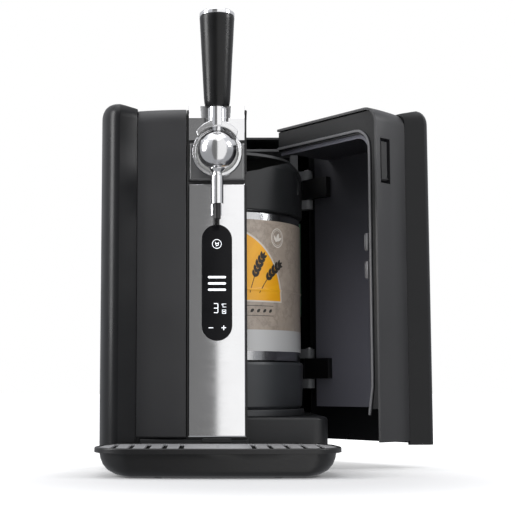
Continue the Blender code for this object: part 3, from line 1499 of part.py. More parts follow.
def liner_path(radius, end_x):
    """Round the keg's left and back, then straight on to the hinge post."""
    round_part = arc(
        (0, KEG_Y), radius, LINER_START, LINER_TURN_OFF, 4 * CORNER_FACETS
    )
    last = round_part[-1]
    slope = math.tan(LINER_RUN_ANGLE)
    return [*round_part, (end_x, last[1] + (end_x - last[0]) * slope)]


def build_chamber():
    inner = liner_path(LINER_RADIUS, LINER_END_X)
    outer = liner_path(LINER_RADIUS + LINER_WALL, LINER_END_X)
    top = CEILING_BOTTOM - SEAT_GAP
    liner = add_piece(
        "chamber_liner",
        prism(inner + outer[::-1], LINER_FOOT, top),
        "black_plastic",
    )
    play = WINDOW_PLAY
    window = block(
        (-BOSS_HALF - play, KEG_Y, BOSS_LOW - play),
        (BOSS_HALF + play, BOSS_BACK, BOSS_HIGH + play),
    )
    shape_with(liner, window)

    edge = PANEL_EDGE_HALF - JOINT_GAP
    door_back = DOOR_TOP_BACK + JOINT_GAP * 2
    front = COLUMN_FRONT + COLUMN_DEPTH + SEAT_GAP
    seam = POST_LEFT - SEAT_GAP
    arched = liner_path(LINER_RADIUS + LINER_WALL, seam)
    outline = [(edge, front), (edge, door_back), (seam, door_back), *arched[::-1]]
    outline += [(arched[0][0], front)]
    ceiling = prism(outline, CEILING_BOTTOM, CEILING_BOTTOM + CEILING_WALL)
    ceiling = add_piece("chamber_ceiling", ceiling, "black_plastic")
    port = HOSE_RADIUS + JOINT_GAP * 2
    hole = arc((0, KEG_Y), port, 0, 2 * math.pi, SMALL_FACETS)[:-1]
    shape_with(ceiling, prism(hole, CEILING_BOTTOM - CUT_OVER, CEILING_BOTTOM + WALL * 2))

    inner = arc((0, KEG_Y), PLATE_RADIUS, PLATE_START, PLATE_END, 2 * CORNER_FACETS)
    outer = arc((0, KEG_Y), PLATE_RADIUS + PLATE_WALL, PLATE_START, PLATE_END, 2 * CORNER_FACETS)
    plate = prism(inner + outer[::-1], PLATE_LOW, PLATE_HIGH)
    plate = add_piece("cooling_plate", plate, "aluminium")
    start = KEG_Y + math.sqrt(PLATE_RADIUS**2 - BOSS_HALF**2) + PLATE_WALL / 2
    boss = block(
        (-BOSS_HALF, start + PLATE_WALL / 2, BOSS_LOW), (BOSS_HALF / 2, BOSS_BACK, BOSS_HIGH)
    )
    shape_with(plate, boss, "UNION")


def build_hinge_post():
    """The post beside the chamber's mouth, with an ear above and below each door knuckle."""
    top = CEILING_BOTTOM + CEILING_WALL
    post = add_piece(
        "hinge_post",
        block((POST_LEFT, POST_FRONT, LINER_FOOT), (POST_RIGHT, POST_BACK, top)),
        "grey_plastic",
    )
    ears = None
    for low in (HINGE_LOW, HINGE_HIGH):
        for z in (low, low + HINGE_TALL - HINGE_EAR):
            round_part = arc((HINGE_X, HINGE_Y), KNUCKLE_RADIUS, -math.pi / 2, math.pi / 2)
            web = [
                *round_part,
                (POST_RIGHT - CUT_OVER, HINGE_Y + KNUCKLE_RADIUS),
                (POST_RIGHT - CUT_OVER, HINGE_Y + KNUCKLE_RADIUS / 2),
                (HINGE_X - KNUCKLE_RADIUS * 1.2, HINGE_Y - KNUCKLE_RADIUS / 8),
                (HINGE_X - KNUCKLE_RADIUS / 2, HINGE_Y - KNUCKLE_RADIUS * 0.86),
            ]
            ear = prism(web, z, z + HINGE_EAR)
            ears = merged(ears, ear) if ears else ear
    shape_with(post, ears, "UNION")
    bores = None
    for low in (HINGE_LOW, HINGE_HIGH):
        radius = PIN_RADIUS + PIN_GAP
        bore = [
            (0, low + WALL),
            (radius, low + WALL),
            (radius, low + HINGE_TALL + CUT_OVER),
            (0, low + HINGE_TALL + CUT_OVER),
        ]
        cut = turned(bore, (HINGE_X, HINGE_Y, 0), steps=SMALL_FACETS)
        bores = merged(bores, cut) if bores else cut
    shape_with(post, bores)
    for low, word in ((HINGE_LOW, "lower"), (HINGE_HIGH, "upper")):
        pin = [
            (0, low + WALL + SEAT_GAP),
            (PIN_RADIUS, low + WALL + SEAT_GAP),
            (PIN_RADIUS, low + HINGE_TALL + PIN_GAP),
            (PIN_RADIUS + WALL / 2, low + HINGE_TALL + PIN_GAP),
            (PIN_RADIUS + WALL / 2, low + HINGE_TALL + WALL / 2),
            (0, low + HINGE_TALL + WALL / 2),
        ]
        pin = turned(pin, (HINGE_X, HINGE_Y, 0), steps=SMALL_FACETS)
        add_piece(f"hinge_pin_{word}", pin, "brushed_steel")


def build_door_arms():
    for low, word in ((HINGE_LOW, "lower"), (HINGE_HIGH, "upper")):
        bottom = low + HINGE_EAR + SEAT_GAP
        top = low + HINGE_TALL - HINGE_EAR - SEAT_GAP
        inside = LINER_DOOR_SIDE - SEAT_GAP
        round_part = arc((HINGE_X, HINGE_Y), KNUCKLE_RADIUS, 0, math.pi, 2 * CORNER_FACETS)
        outline = [
            *round_part,
            (HINGE_X - KNUCKLE_RADIUS, HINGE_Y - KNUCKLE_RADIUS),
            (inside - ARM_HALF * 2, HINGE_Y - ARM_SPAN),
            (inside, HINGE_Y - ARM_SPAN),
            (inside, LINER_DOOR_BACK + SEAT_GAP),
            (HINGE_X + KNUCKLE_RADIUS, LINER_DOOR_BACK + SEAT_GAP),
        ]
        arm = prism(outline, bottom, top)
        arm = add_piece(f"door_arm_{word}", arm, "black_plastic", "door")
        radius = PIN_RADIUS + PIN_GAP
        bore = [
            (0, bottom - CUT_OVER),
            (radius, bottom - CUT_OVER),
            (radius, top + CUT_OVER),
            (0, top + CUT_OVER),
        ]
        cut = turned(bore, (HINGE_X, HINGE_Y, 0), steps=SMALL_FACETS)
        shape_with(arm, cut, "DIFFERENCE", "door")


def build_door_liner():
    """A foam filled frame with a deep recess that closes round the keg."""
    skin = PANEL_WALL + JOINT_GAP
    steps = 6
    wing_in = wing_front(WALL + SEAT_GAP)
    seam_x = SEAM_HALF
    front = [
        (
            LINER_DOOR_FACE + (seam_x - LINER_DOOR_FACE) * i / steps,
            panel_y(LINER_DOOR_FACE + (seam_x - LINER_DOOR_FACE) * i / steps) + skin,
        )
        for i in range(steps + 1)
    ]
    side = BODY_HALF_WIDTH - WALL - SEAT_GAP
    front += [point for point in wing_in[1:] if point[1] < WIDEST_Y]
    front.append((side, WIDEST_Y))
    rest = [
        (side, LINER_DOOR_BACK),
        (LINER_DOOR_SIDE, LINER_DOOR_BACK),
        (LINER_DOOR_SIDE, DOOR_TOP_BACK),
        (LINER_DOOR_FACE, DOOR_TOP_BACK),
    ]
    solid = rounded_stack(
        lambda back: [*drawn_back(front, back), *rest],
        LINER_DOOR_BOTTOM,
        BODY_TOP - skin,
        PANEL_TOP_ROUND - skin,
    )
    liner = add_piece("door_liner", solid, "grey_plastic", "door")
    roof = wing_profile(WALL + SEAT_GAP * 2)
    roof = [(0, roof[0][1]), *roof[1:], (0, roof[-1][1])]
    shape_with(liner, prism(roof, TIP_Y, 2 * BODY_BACK, "y"), "INTERSECT", "door")
    recess = rounded_rectangle(
        (LINER_DOOR_FRONT, LINER_DOOR_BOTTOM - LINER_ROUND * 2),
        (HINGE_Y + CUT_OVER, LINER_DOOR_CEILING),
        LINER_ROUND,
    )
    lip = rounded_rectangle(
        (LINER_DOOR_FRONT + LINER_LIP, LINER_DOOR_BOTTOM - LINER_ROUND * 2),
        (HINGE_Y + CUT_OVER, LINER_DOOR_CEILING - LINER_LIP),
        LINER_ROUND,
    )
    deep = prism(recess, LINER_DOOR_FACE + LINER_LIP_DEPTH * 2, LINER_DOOR_SIDE, "x")
    mouth = prism(lip, LINER_DOOR_FACE + LINER_LIP_DEPTH, LINER_DOOR_SIDE - WALL, "x")
    step = prism(recess, LINER_DOOR_FACE - CUT_OVER, LINER_DOOR_FACE + LINER_LIP_DEPTH, "x")
    for cut in (deep, mouth, step):
        shape_with(liner, cut, "DIFFERENCE", "door")
    latch = latch_recess(SEAT_GAP)
    shape_with(liner, latch, "DIFFERENCE", "door")


def latch_recess(grow):
    return block(
        (LATCH_LEFT - grow, PANEL_EDGE_Y - CUT_OVER, LATCH_LOW - grow),
        (LATCH_RIGHT + grow, LATCH_DEPTH + grow, LATCH_HIGH + grow),
    )


def build_seal():
    """The bead round the recess: along the top, round the corner, down and inwards."""
    y_front = LINER_DOOR_FRONT - SEAL_STEP
    z_top = LINER_DOOR_CEILING + SEAL_STEP
    bend = arc((y_front + SEAL_RADIUS, z_top - SEAL_RADIUS), SEAL_RADIUS, math.pi / 2, math.pi)
    outer = [
        (DOOR_TOP_BACK, z_top),
        *bend,
        (y_front, SEAL_TURN),
        (SEAL_END_Y, SEAL_END_Z),
    ]
    width = SEAL_WIDTH
    bend_in = arc(
        (y_front + SEAL_RADIUS, z_top - SEAL_RADIUS), SEAL_RADIUS + width, math.pi / 2, math.pi
    )
    inner = [
        (DOOR_TOP_BACK, z_top + width),
        *bend_in,
        (y_front - width, SEAL_TURN),
        (SEAL_END_Y - width, SEAL_END_Z - width / 3),
    ]
    face = LINER_DOOR_FACE - SEAT_GAP
    bead = prism(outer + inner[::-1], face - SEAL_STEP + JOINT_GAP, face, "x")
    add_piece("door_seal", bead, "grey_plastic", "door")


def build_latch():
    lever_front = PANEL_EDGE_Y + LATCH_LEVER_WALL / 4
    wall = LATCH_LEVER_WALL
    eye = arc((LATCH_AXIS_Y, LATCH_AXIS_Z), LATCH_EYE_RADIUS, 0, 2 * math.pi, SMALL_FACETS)[:-1]
    plate = [
        (lever_front, LATCH_AXIS_Z - wall / 4),
        (lever_front, LATCH_LEVER_TOP),
        (lever_front + wall, LATCH_LEVER_TOP),
        (lever_front + wall, LATCH_AXIS_Z - wall / 4),
    ]
    lever = add_piece(
        "latch_lever",
        prism(plate, LATCH_LEVER_LEFT, LATCH_LEVER_RIGHT, "x"),
        "black_plastic",
        "latch",
    )
    shape_with(lever, prism(eye, LATCH_LEVER_LEFT, LATCH_LEVER_RIGHT, "x"), "UNION", "latch")
    bore = arc(
        (LATCH_AXIS_Y, LATCH_AXIS_Z), LATCH_PIN_RADIUS + PIN_GAP, 0, 2 * math.pi, SMALL_FACETS
    )[:-1]
    cut = prism(bore, LATCH_LEVER_LEFT - CUT_OVER, LATCH_LEVER_RIGHT + CUT_OVER, "x")
    shape_with(lever, cut, "DIFFERENCE", "latch")
    pin = arc((LATCH_AXIS_Y, LATCH_AXIS_Z), LATCH_PIN_RADIUS, 0, 2 * math.pi, SMALL_FACETS)[:-1]
    left = LATCH_LEFT + SEAT_GAP
    right = LATCH_RIGHT - SEAT_GAP
    add_piece("latch_pin", prism(pin, left, right, "x"), "brushed_steel", "door")


def build_door_panel():
    panel = front_panel("door_front_panel", 1, DOOR_BOTTOM, DOOR_TOP_BACK, "door")
    shape_with(panel, latch_recess(0), "DIFFERENCE", "door")


def build_cooling():
    front = module_front()
    module = block((-BOSS_HALF, front, BOSS_LOW), (BOSS_HALF, front + MODULE_WALL, BOSS_HIGH))
    add_piece("cooling_module", module, "ceramic_white")
    front = sink_front()
    sink = block((-SINK_HALF, front, SINK_LOW), (SINK_HALF, front + SINK_PLATE, SINK_HIGH))
    sink = add_piece("heat_sink", sink, "aluminium")
    fins = None
    for i in range(FIN_COUNT):
        x = -SINK_HALF + FIN_WALL / 2 + (2 * SINK_HALF - FIN_WALL) * i / (FIN_COUNT - 1)
        fin = block(
            (x - FIN_WALL / 2, front + SINK_PLATE / 2, SINK_LOW),
            (x + FIN_WALL / 2, front + SINK_PLATE + SINK_DEPTH, SINK_HIGH),
        )
        fins = merged(fins, fin) if fins else fin
    shape_with(sink, fins, "UNION")


def build_fan():
    front = fan_front()
    back = front + FAN_DEPTH
    middle = sink_middle()
    low = (-FAN_HALF, middle - FAN_HALF)
    high = (FAN_HALF, middle + FAN_HALF)
    frame = rounded_rectangle(low, high, FAN_HUB / 4, 2)
    frame = add_piece("fan_frame", prism(frame, front, back, "y"), "black_plastic")
    hole = arc((0, middle), FAN_BORE, 0, 2 * math.pi, KEG_FACETS)[:-1]
    shape_with(frame, prism(hole, front - CUT_OVER, back + CUT_OVER, "y"))
    spokes = turned(
        [(0, back - FAN_SPOKE), (FAN_HUB, back - FAN_SPOKE), (FAN_HUB, back), (0, back)],
        (0, 0, middle),
        "y",
        SMALL_FACETS,
    )
    shape_with(frame, spokes, "UNION")
    inset = FAN_SPOKE / 8
    for angle in (math.pi / 4, -math.pi / 4):
        bar = block(
            (-FAN_BORE - FAN_SPOKE, back - FAN_SPOKE + inset, middle - FAN_SPOKE),
            (FAN_BORE + FAN_SPOKE, back - inset, middle + FAN_SPOKE),
        )
        turn = Matrix.Rotation(angle, 3, "Y")
        bmesh.ops.rotate(bar, verts=bar.verts, cent=(0, 0, middle), matrix=turn)
        shape_with(frame, bar, "UNION")
    stub_long = FAN_SPOKE * 3 - inset
    stub = [(0, 0), (FAN_STUB, 0), (FAN_STUB, stub_long), (0, stub_long)]
    stub_place = (0, back - FAN_SPOKE * 3, middle)
    shape_with(frame, turned(stub, stub_place, "y", SMALL_FACETS), "UNION")

    hub_back = back - FAN_SPOKE - SEAT_GAP
    hub_front = front + FAN_BLADE_GAP
    deep = back - FAN_SPOKE * 3 - SEAT_GAP
    hub = [
        (0, hub_front),
        (FAN_HUB - FAN_BLADE_WALL, hub_front),
        (FAN_HUB, hub_front + FAN_BLADE_WALL),
        (FAN_HUB, hub_back),
        (FAN_STUB + SEAT_GAP, hub_back),
        (FAN_STUB + SEAT_GAP, deep),
        (0, deep),
    ]
    rotor = turned(hub, (0, 0, middle), "y", TAP_FACETS)
    rotor = add_piece("fan_rotor", rotor, "black_plastic", "fan")
    reach = FAN_BORE - FAN_BLADE_GAP
    depth_middle = (hub_front + hub_back) / 2
    for i in range(FAN_BLADES):
        blade = block(
            (FAN_HUB - FAN_BLADE_WALL, -FAN_BLADE_WALL / 2, -(hub_back - hub_front) / 2),
            (reach, FAN_BLADE_WALL / 2, (hub_back - hub_front) / 2),
        )
        twist = Matrix.Rotation(FAN_BLADE_TWIST, 3, "X")
        bmesh.ops.rotate(blade, verts=blade.verts, cent=(0, 0, 0), matrix=twist)
        spin = Matrix.Rotation(2 * math.pi * i / FAN_BLADES, 3, "Y")
        bmesh.ops.rotate(blade, verts=blade.verts, cent=(0, 0, 0), matrix=spin)
        bmesh.ops.translate(blade, verts=blade.verts, vec=(0, depth_middle, middle))
        shape_with(rotor, blade, "UNION", "fan")


def build_air_system():
    low = PLINTH_TOP + SEAT_GAP
    axis_z = low + PUMP_LIFT + PUMP_RADIUS
    half = PUMP_LENGTH / 2
    profile = [
        (0, -half),
        (PUMP_RADIUS, -half),
        (PUMP_RADIUS, half),
        (PUMP_RADIUS / 2, half),
        (PUMP_RADIUS / 2, half + PUMP_LIFT),
        (0, half + PUMP_LIFT),
    ]
    pump = turned(profile, (PUMP_X, PUMP_Y, axis_z), "x", TAP_FACETS)
    pump = add_piece("air_pump", pump, "brushed_steel")
    head = block(
        (PUMP_X - half - PUMP_HEAD, PUMP_Y - PUMP_RADIUS, low),
        (PUMP_X - half + PUMP_LIFT, PUMP_Y + PUMP_RADIUS, axis_z + PUMP_RADIUS + PUMP_LIFT),
        FOOT_EDGE,
    )
    shape_with(pump, head, "UNION")
    foot = block(
        (PUMP_X - half, PUMP_Y - PUMP_RADIUS, low),
        (PUMP_X + half, PUMP_Y + PUMP_RADIUS, axis_z - PUMP_RADIUS / 2),
    )
    shape_with(pump, foot, "UNION")
    start = Vector(
        (
            PUMP_X - half - PUMP_HEAD / 2,
            PUMP_Y,
            axis_z + PUMP_RADIUS + PUMP_LIFT + SEAT_GAP,
        )
    )
    up = HOSE_RADIUS * 6
    top = CEILING_BOTTOM + CEILING_WALL + HOSE_RADIUS * 2
    rise_shares = (0.08, 0.2, 0.45, 0.7, 0.88)
    rise = top - start.z - up
    climb = [start + Vector((-up / 3 * share, 0, rise * share)) for share in rise_shares]
    tube_along(
        "air_hose",
        [
            start,
            *climb,
            (start.x + up / 4, PUMP_Y - up, top - up / 3),
            (start.x * 3 / 4, PUMP_Y - up * 3, top),
            (start.x / 4, (PUMP_Y + KEG_Y * 3) / 4, top),
            (start.x / 12, KEG_Y + up * 2 / 3, top),
            (0, KEG_Y + up / 5, top - HOSE_RADIUS),
            (0, KEG_Y, CEILING_BOTTOM + CEILING_WALL),
            (0, KEG_Y, CEILING_BOTTOM),
        ],
        HOSE_RADIUS,
        "rubber",
        2,
    )


def build_electrics():
    low = PLINTH_TOP + SEAT_GAP
    supply = block(
        (SUPPLY_LEFT, SUPPLY_FRONT, low), (SUPPLY_RIGHT, SUPPLY_BACK, SUPPLY_TOP), FOOT_EDGE * 2
    )
    add_piece("power_supply", supply, "aluminium")
    board = block(
        (CONTROL_X - CONTROL_WALL / 2, CONTROL_FRONT, CONTROL_LOW),
        (CONTROL_X + CONTROL_WALL / 2, CONTROL_BACK, CONTROL_HIGH),
    )
    add_piece("control_board", board, "circuit_green")


def build_all():
    clear_scene()
    build_carriers()
    add_carrier("grid", (0, TRAY_BACK_Y, TRAY_GRID_SEAT)).parent = carriers["machine"][0]
    build_plinth()
    build_keg_seat()
    build_left_shell()
    front_panel("left_front_panel", -1, LEFT_PANEL_BOTTOM, PANEL_TOP_BACK, "machine")
    build_top_cover()
    build_right_rear_shell()
    build_rear_panel()
    build_power_inlet()
    build_column()
    build_chrome()
    build_display()
    build_tap_collar()
    build_tap_ball()
    build_tap_lever()
    build_grip()
    build_spout()
    build_beer_line()
    build_chamber()
    build_cooling()
    build_fan()
    build_air_system()
    build_electrics()
    build_keg()
    build_hinge_post()
    build_door_shell()
    build_door_panel()
    build_door_liner()
    build_seal()
    build_door_arms()
    build_latch()
    build_tray()
    build_grid()


build_all()
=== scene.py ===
"""The looks of a counter-top beer dispenser for a mini keg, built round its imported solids.

Metres, +Z up, the tap towards -Y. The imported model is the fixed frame. Each solid keeps its
place and shape. Where its bare mesh shows, a clean copy with softened edges stands for it.
"""

import json
import math

import bmesh
import bpy
from bpy.props import FloatProperty, FloatVectorProperty, PointerProperty
from mathutils import Matrix, Vector


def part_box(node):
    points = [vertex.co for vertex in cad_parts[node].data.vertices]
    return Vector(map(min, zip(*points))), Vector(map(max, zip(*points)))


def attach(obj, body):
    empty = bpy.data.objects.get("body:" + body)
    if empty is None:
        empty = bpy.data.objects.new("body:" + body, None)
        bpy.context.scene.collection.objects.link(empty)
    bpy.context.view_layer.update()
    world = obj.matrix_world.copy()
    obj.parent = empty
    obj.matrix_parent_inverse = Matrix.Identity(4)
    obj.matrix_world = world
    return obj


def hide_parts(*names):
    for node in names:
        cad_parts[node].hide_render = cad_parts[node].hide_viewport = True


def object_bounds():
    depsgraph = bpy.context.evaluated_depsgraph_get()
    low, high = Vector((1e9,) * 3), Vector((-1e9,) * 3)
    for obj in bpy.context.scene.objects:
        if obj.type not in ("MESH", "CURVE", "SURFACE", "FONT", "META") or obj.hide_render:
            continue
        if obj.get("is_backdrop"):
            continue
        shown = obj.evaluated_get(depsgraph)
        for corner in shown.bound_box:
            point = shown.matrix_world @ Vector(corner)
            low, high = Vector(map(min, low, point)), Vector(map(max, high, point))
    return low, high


bl_info = {
    "name": "Keg Dispenser Looks",
    "version": (1, 0, 0),
    "blender": (4, 5, 0),
    "location": "View3D > Sidebar > Dispenser",
    "description": "Finishes, fine details and studio of a mini keg beer dispenser",
    "category": "Object",
}

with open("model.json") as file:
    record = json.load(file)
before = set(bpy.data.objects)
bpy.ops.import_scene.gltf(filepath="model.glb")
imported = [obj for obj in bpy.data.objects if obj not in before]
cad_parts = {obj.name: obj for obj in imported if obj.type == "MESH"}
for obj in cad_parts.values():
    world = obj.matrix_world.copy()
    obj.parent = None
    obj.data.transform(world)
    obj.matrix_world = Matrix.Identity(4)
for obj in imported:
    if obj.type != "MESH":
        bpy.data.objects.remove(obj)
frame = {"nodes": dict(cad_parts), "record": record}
cad_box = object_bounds()


def middle_of(node):
    low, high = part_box(node)
    return low / 2 + high / 2


BODY_OF = {
    node: body for body, nodes in frame["record"]["behaviour"]["bodies"].items() for node in nodes
}
SLOT_OF = {part["node"]: part["material_slot"] for part in frame["record"]["subparts"]}

# Places that several pieces share
COLUMN_X = middle_of("front_trim").x
CHROME_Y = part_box("front_trim")[0].y
KEG_X, KEG_Y, _ = middle_of("keg_label")
KEG_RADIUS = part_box("keg_label")[1].x - KEG_X
HINGE_X, HINGE_Y, _ = middle_of("hinge_pin_lower")
SHARP = math.radians(32)
EDGE_STEPS = 2

# The door: how far it stands open, and its liner's rim measured from the hinge while it is shut
DOOR_TURN = math.radians(38.0)
RIM_FROM_HINGE = 0.0818
RIM_FRONT_FROM_HINGE = 0.1816
FRAME_DEPTHS = (0.0012, 0.0020)
LEDGE_DEPTHS = (0.0048, 0.0056)
# The recess wall's painted floor bounce light: over these heights it fades from the lighter foot tone
# to the darker top tone
BOUNCE_LIGHT_HEIGHTS = (0.10, 0.36)
FRAME_TONE, LEDGE_TONE, WALL_TOP_SHADE_TONE, WALL_FOOT_BOUNCE_LIGHT_TONE = 0.10, 3.6, 0.7, 4.0
CLIP_HEIGHTS = (0.2085, 0.2395)

# The keg's printed band
BEAD_Z, BEAD_HALF, BEAD_RISE = 0.198, 0.0022, 0.0009
BEAD_ROWS_LOW, BEAD_ROWS_TALL, BEAD_ROWS = 0.1955, 0.005, 12
BAND_WALL, BAND_EDGE = 0.0014, 0.0003
SUN_Z, SUN_EDGE, SUN_RIM = 0.186, 0.0816, 0.0836
FOOT_TOP = 0.1532
EARS = ((0.0385, 1.30, -0.05), (0.0505, 1.02, -0.08), (0.024, 1.45, 0.0))
EARS_FOOT, GRAIN_COUNT, GRAIN_LENGTH = 0.1945, 5, 0.0100
LINE_OF_GRAINS_Z, LINE_HEIGHTS = 0.1745, (0.1690, 0.1800)
INK_LIFT = 0.00006
SEAL_CENTRE, SEAL_OVAL = (0.0770, 0.2580), 1.15

# The display's signs: (x from the column's middle, z)
LEVELS, LEVEL_ENDS, LEVEL_WIDTH = (0.2095, 0.2026, 0.1957), (-0.0086, 0.0088), 0.0024
FIGURE, FIGURE_WIDE, FIGURE_TALL = (-0.0012, 0.1755), 0.0046, 0.0100
DEGREE, LETTER, KEG_SIGN = (0.0060, 0.1795), (0.0083, 0.1784), (0.0078, 0.1716)
MINUS, PLUS, KEY_HALF = (-0.0066, 0.1540), (0.0075, 0.1540), 0.0023
GLASS_SIGN, GLASS_RING = (0, 0.2462), 0.0052
STROKE, THIN_STROKE = 0.0008, 0.0005

# The stage: the painted soft shadow's middle and reach on the floor, where its glow fades, and the
# cards behind the camera
SHADOW_X, SHADOW_Y = -0.02, -0.24
SHADOW_WIDE, SHADOW_DEEP = 0.22, 0.16
CARD_Y, CARD_TALL = -2.70, 16.0


def colour_property(name, description, default):
    return FloatVectorProperty(
        name=name, description=description, subtype="COLOR", size=3, min=0, max=1, default=default
    )


def length_property(name, description, default):
    return FloatProperty(name=name, description=description, unit="LENGTH", default=default)


class DispenserPaints(bpy.types.PropertyGroup):
    """Colours of the finishes."""

    # One charcoal paint: the shells' darker tone is painted shade, the panels' lighter tone is painted
    # light
    shell: colour_property("Shell", "Satin paint of the side shells", (0.0065, 0.0067, 0.0075))
    panel: colour_property("Panels", "Satin paint of the front panels", (0.022, 0.022, 0.0235))
    plinth: colour_property("Plinth", "Moulded plinth", (0.010, 0.0106, 0.012))
    black: colour_property("Black plastic", "Column, tray and grip", (0.005, 0.005, 0.0055))
    liner: colour_property("Door liner", "Grey moulding inside the door", (0.040, 0.040, 0.047))
    keg_ring: colour_property("Keg rings", "Plastic rings of the keg", (0.040, 0.043, 0.047))
    band: colour_property("Keg band", "Printed ground of the keg's band", (0.34, 0.285, 0.235))
    gold: colour_property("Keg panel", "Large sun panel on the band", (0.84, 0.40, 0.008))
    chrome: colour_property("Chrome", "Polished chrome", (0.84, 0.84, 0.85))
    steel: colour_property("Steel", "Satin steel", (0.60, 0.60, 0.61))
    legend: colour_property("Legend", "Lit characters of the display", (0.92, 0.95, 1.0))


class DispenserSizes(bpy.types.PropertyGroup):
    """Sizes of the fine details."""

    edge: length_property("Edge", "Softened edge of moulded pieces", 0.0005)
    bead: length_property("Window bead", "Bright bead round the display", 0.00045)
    legend: length_property("Legend height", "How far the lit characters stand out", 0.00006)
    screw: length_property("Screw head", "Radius of the screw heads", 0.0028)
    clip: length_property("Clip", "Height of the clips in the door's rim", 0.0195)


class DispenserView(bpy.types.PropertyGroup):
    """The photograph's viewpoint."""

    lens: FloatProperty(name="Lens", description="Focal length in mm", default=82.83, min=20)
    place: FloatVectorProperty(
        name="Place",
        description="Where the camera stands",
        subtype="TRANSLATION",
        size=3,
        default=(-0.0665, -1.3941, 0.0910),
    )
    tilt: FloatProperty(
        name="Tilt", description="Upward tilt", subtype="ANGLE", default=math.radians(6.18)
    )
    shift: FloatProperty(name="Shift", description="Sideways framing", default=0.1019)


class Wire:
    """A socket of a material's node tree, with arithmetic that adds Math nodes."""

    def __init__(self, tree, socket):
        self.tree = tree
        self.socket = socket

    def node(self, kind, settings=None, values=None, output=0):
        made = self.tree.nodes.new(kind)
        for name, value in (settings or {}).items():
            setattr(made, name, value)
        for key, value in (values or {}).items():
            self.feed(made.inputs[key], value)
        return Wire(self.tree, made.outputs[output])

    def feed(self, socket, value):
        if isinstance(value, Wire):
            self.tree.links.new(value.socket, socket)
        else:
            socket.default_value = value

    def math(self, operation, *others):
        return self.node("ShaderNodeMath", {"operation": operation}, dict(enumerate((self, *others))))

    def __add__(self, other):
        return self.math("ADD", other)

    __radd__ = __add__

    def __sub__(self, other):
        return self.math("SUBTRACT", other)

    def __rsub__(self, other):
        return (self * -1) + other

    def __mul__(self, other):
        return self.math("MULTIPLY", other)

    __rmul__ = __mul__

    def __truediv__(self, other):
        return self.math("DIVIDE", other)

    def __pow__(self, other):
        return self.math("POWER", other)

    def __abs__(self):
        return self.math("ABSOLUTE")

    def ramp(self, low, high, start=0.0, end=1.0):
        """A smooth step from start to end as this value goes from low to high."""
        return self.node(
            "ShaderNodeMapRange",
            {"interpolation_type": "SMOOTHSTEP"},
            {"Value": self, "From Min": low, "From Max": high, "To Min": start, "To Max": end},
        )

    def part(self, axis):
        return self.node("ShaderNodeSeparateXYZ", None, {0: self}, "XYZ".index(axis))

    def stretched(self, scale):
        return self.node("ShaderNodeMapping", None, {"Vector": self, "Scale": scale})

    def noise(self, scale, detail=2.0, roughness=0.5):
        values = {"Vector": self, "Scale": scale, "Detail": detail, "Roughness": roughness}
        return self.node("ShaderNodeTexNoise", None, values)

    def blend(self, first, second):
        """first where this mask is 0 and second where it is 1, as colours."""
        return self.node(
            "ShaderNodeMix",
            {"data_type": "RGBA"},
            {0: self, 6: first, 7: second},
            2,
        )


class Finish:
    """A new material, with its shader and the position wire that patterns start from."""

    def __init__(self, name, **plain):
        self.material = bpy.data.materials.new(name)
        self.material.use_nodes = True
        tree = self.material.node_tree
        self.shader = tree.nodes["Principled BSDF"]
        self.spot = Wire(tree, tree.nodes.new("ShaderNodeTexCoord").outputs["Object"])
        for key, value in plain.items():
            self.set(key.replace("_", " ").title().replace("Ior", "IOR"), value)

    def set(self, socket, value):
        if isinstance(value, tuple) and len(value) == 3:
            value = (*value, 1)
        self.spot.feed(self.shader.inputs[socket], value)
        return self

    def relief(self, height, distance, strength=1.0):
        bump = self.spot.node(
            "ShaderNodeBump", None, {"Height": height, "Distance": distance, "Strength": strength}
        )
        return self.set("Normal", bump)

    def scatter(self, colour, amount, scale):
        """The colour with slow, slight variation in its depth."""
        share = self.spot.noise(scale, 3.0).ramp(0.3, 0.7)
        low = tuple(c * (1 - amount) for c in colour)
        high = tuple(min(1, c * (1 + amount)) for c in colour)
        return share.blend((*low, 1), (*high, 1))


def satin_paint(name, colour, roughness=0.36, sheen=0.5, grain=0.00002):
    """Painted shell: fine orange peel, a little unevenness in the gloss."""
    finish = Finish(name, specular_ior_level=sheen)
    finish.set("Base Color", finish.scatter(colour, 0.06, 9.0))
    cloud = finish.spot.noise(26.0, 4.0)
    finish.set("Roughness", cloud.ramp(0.25, 0.75, roughness - 0.03, roughness + 0.05))
    finish.relief(finish.spot.noise(1500.0, 2.0), grain, 0.35)
    return finish.material


def moulded_plastic(name, colour, roughness=0.48, scale=900.0, grain=0.00004):
    """Fine spark texture of a moulded piece."""
    finish = Finish(name)
    finish.set("Base Color", finish.scatter(colour, 0.08, 14.0))
    cells = finish.spot.noise(scale, 3.0, 0.6)
    finish.set("Roughness", cells.ramp(0.3, 0.7, roughness - 0.06, roughness + 0.06))
    finish.relief(cells, grain, 0.5)
    return finish.material


def polished_chrome(name, colour, roughness=0.05):
    """Bright plating with faint wiping marks."""
    finish = Finish(name, metallic=1.0)
    finish.set("Base Color", finish.scatter(colour, 0.02, 20.0))
    wipe = finish.spot.stretched((40, 40, 240)).noise(1.0, 4.0, 0.6)
    finish.set("Roughness", wipe.ramp(0.35, 0.8, roughness, roughness + 0.02))
    finish.relief(finish.spot.noise(60.0, 2.0), 0.000003, 0.05)
    return finish.material


def brushed_metal(name, colour, along="x", roughness=0.26, grain=0.00002):
    """Fine parallel brushing along one axis."""
    finish = Finish(name, metallic=1.0)
    fine = 2600
    slow = 22
    scale = {"x": (slow, fine, fine), "y": (fine, slow, fine), "z": (fine, fine, slow)}[along]
    strands = finish.spot.stretched(scale).noise(1.0, 3.0, 0.6)
    dark = tuple(c * 0.86 for c in colour)
    finish.set("Base Color", strands.ramp(0.3, 0.7).blend((*dark, 1), (*colour, 1)))
    finish.set("Roughness", strands.ramp(0.3, 0.7, roughness - 0.05, roughness + 0.07))
    finish.relief(strands, grain, 0.4)
    return finish.material


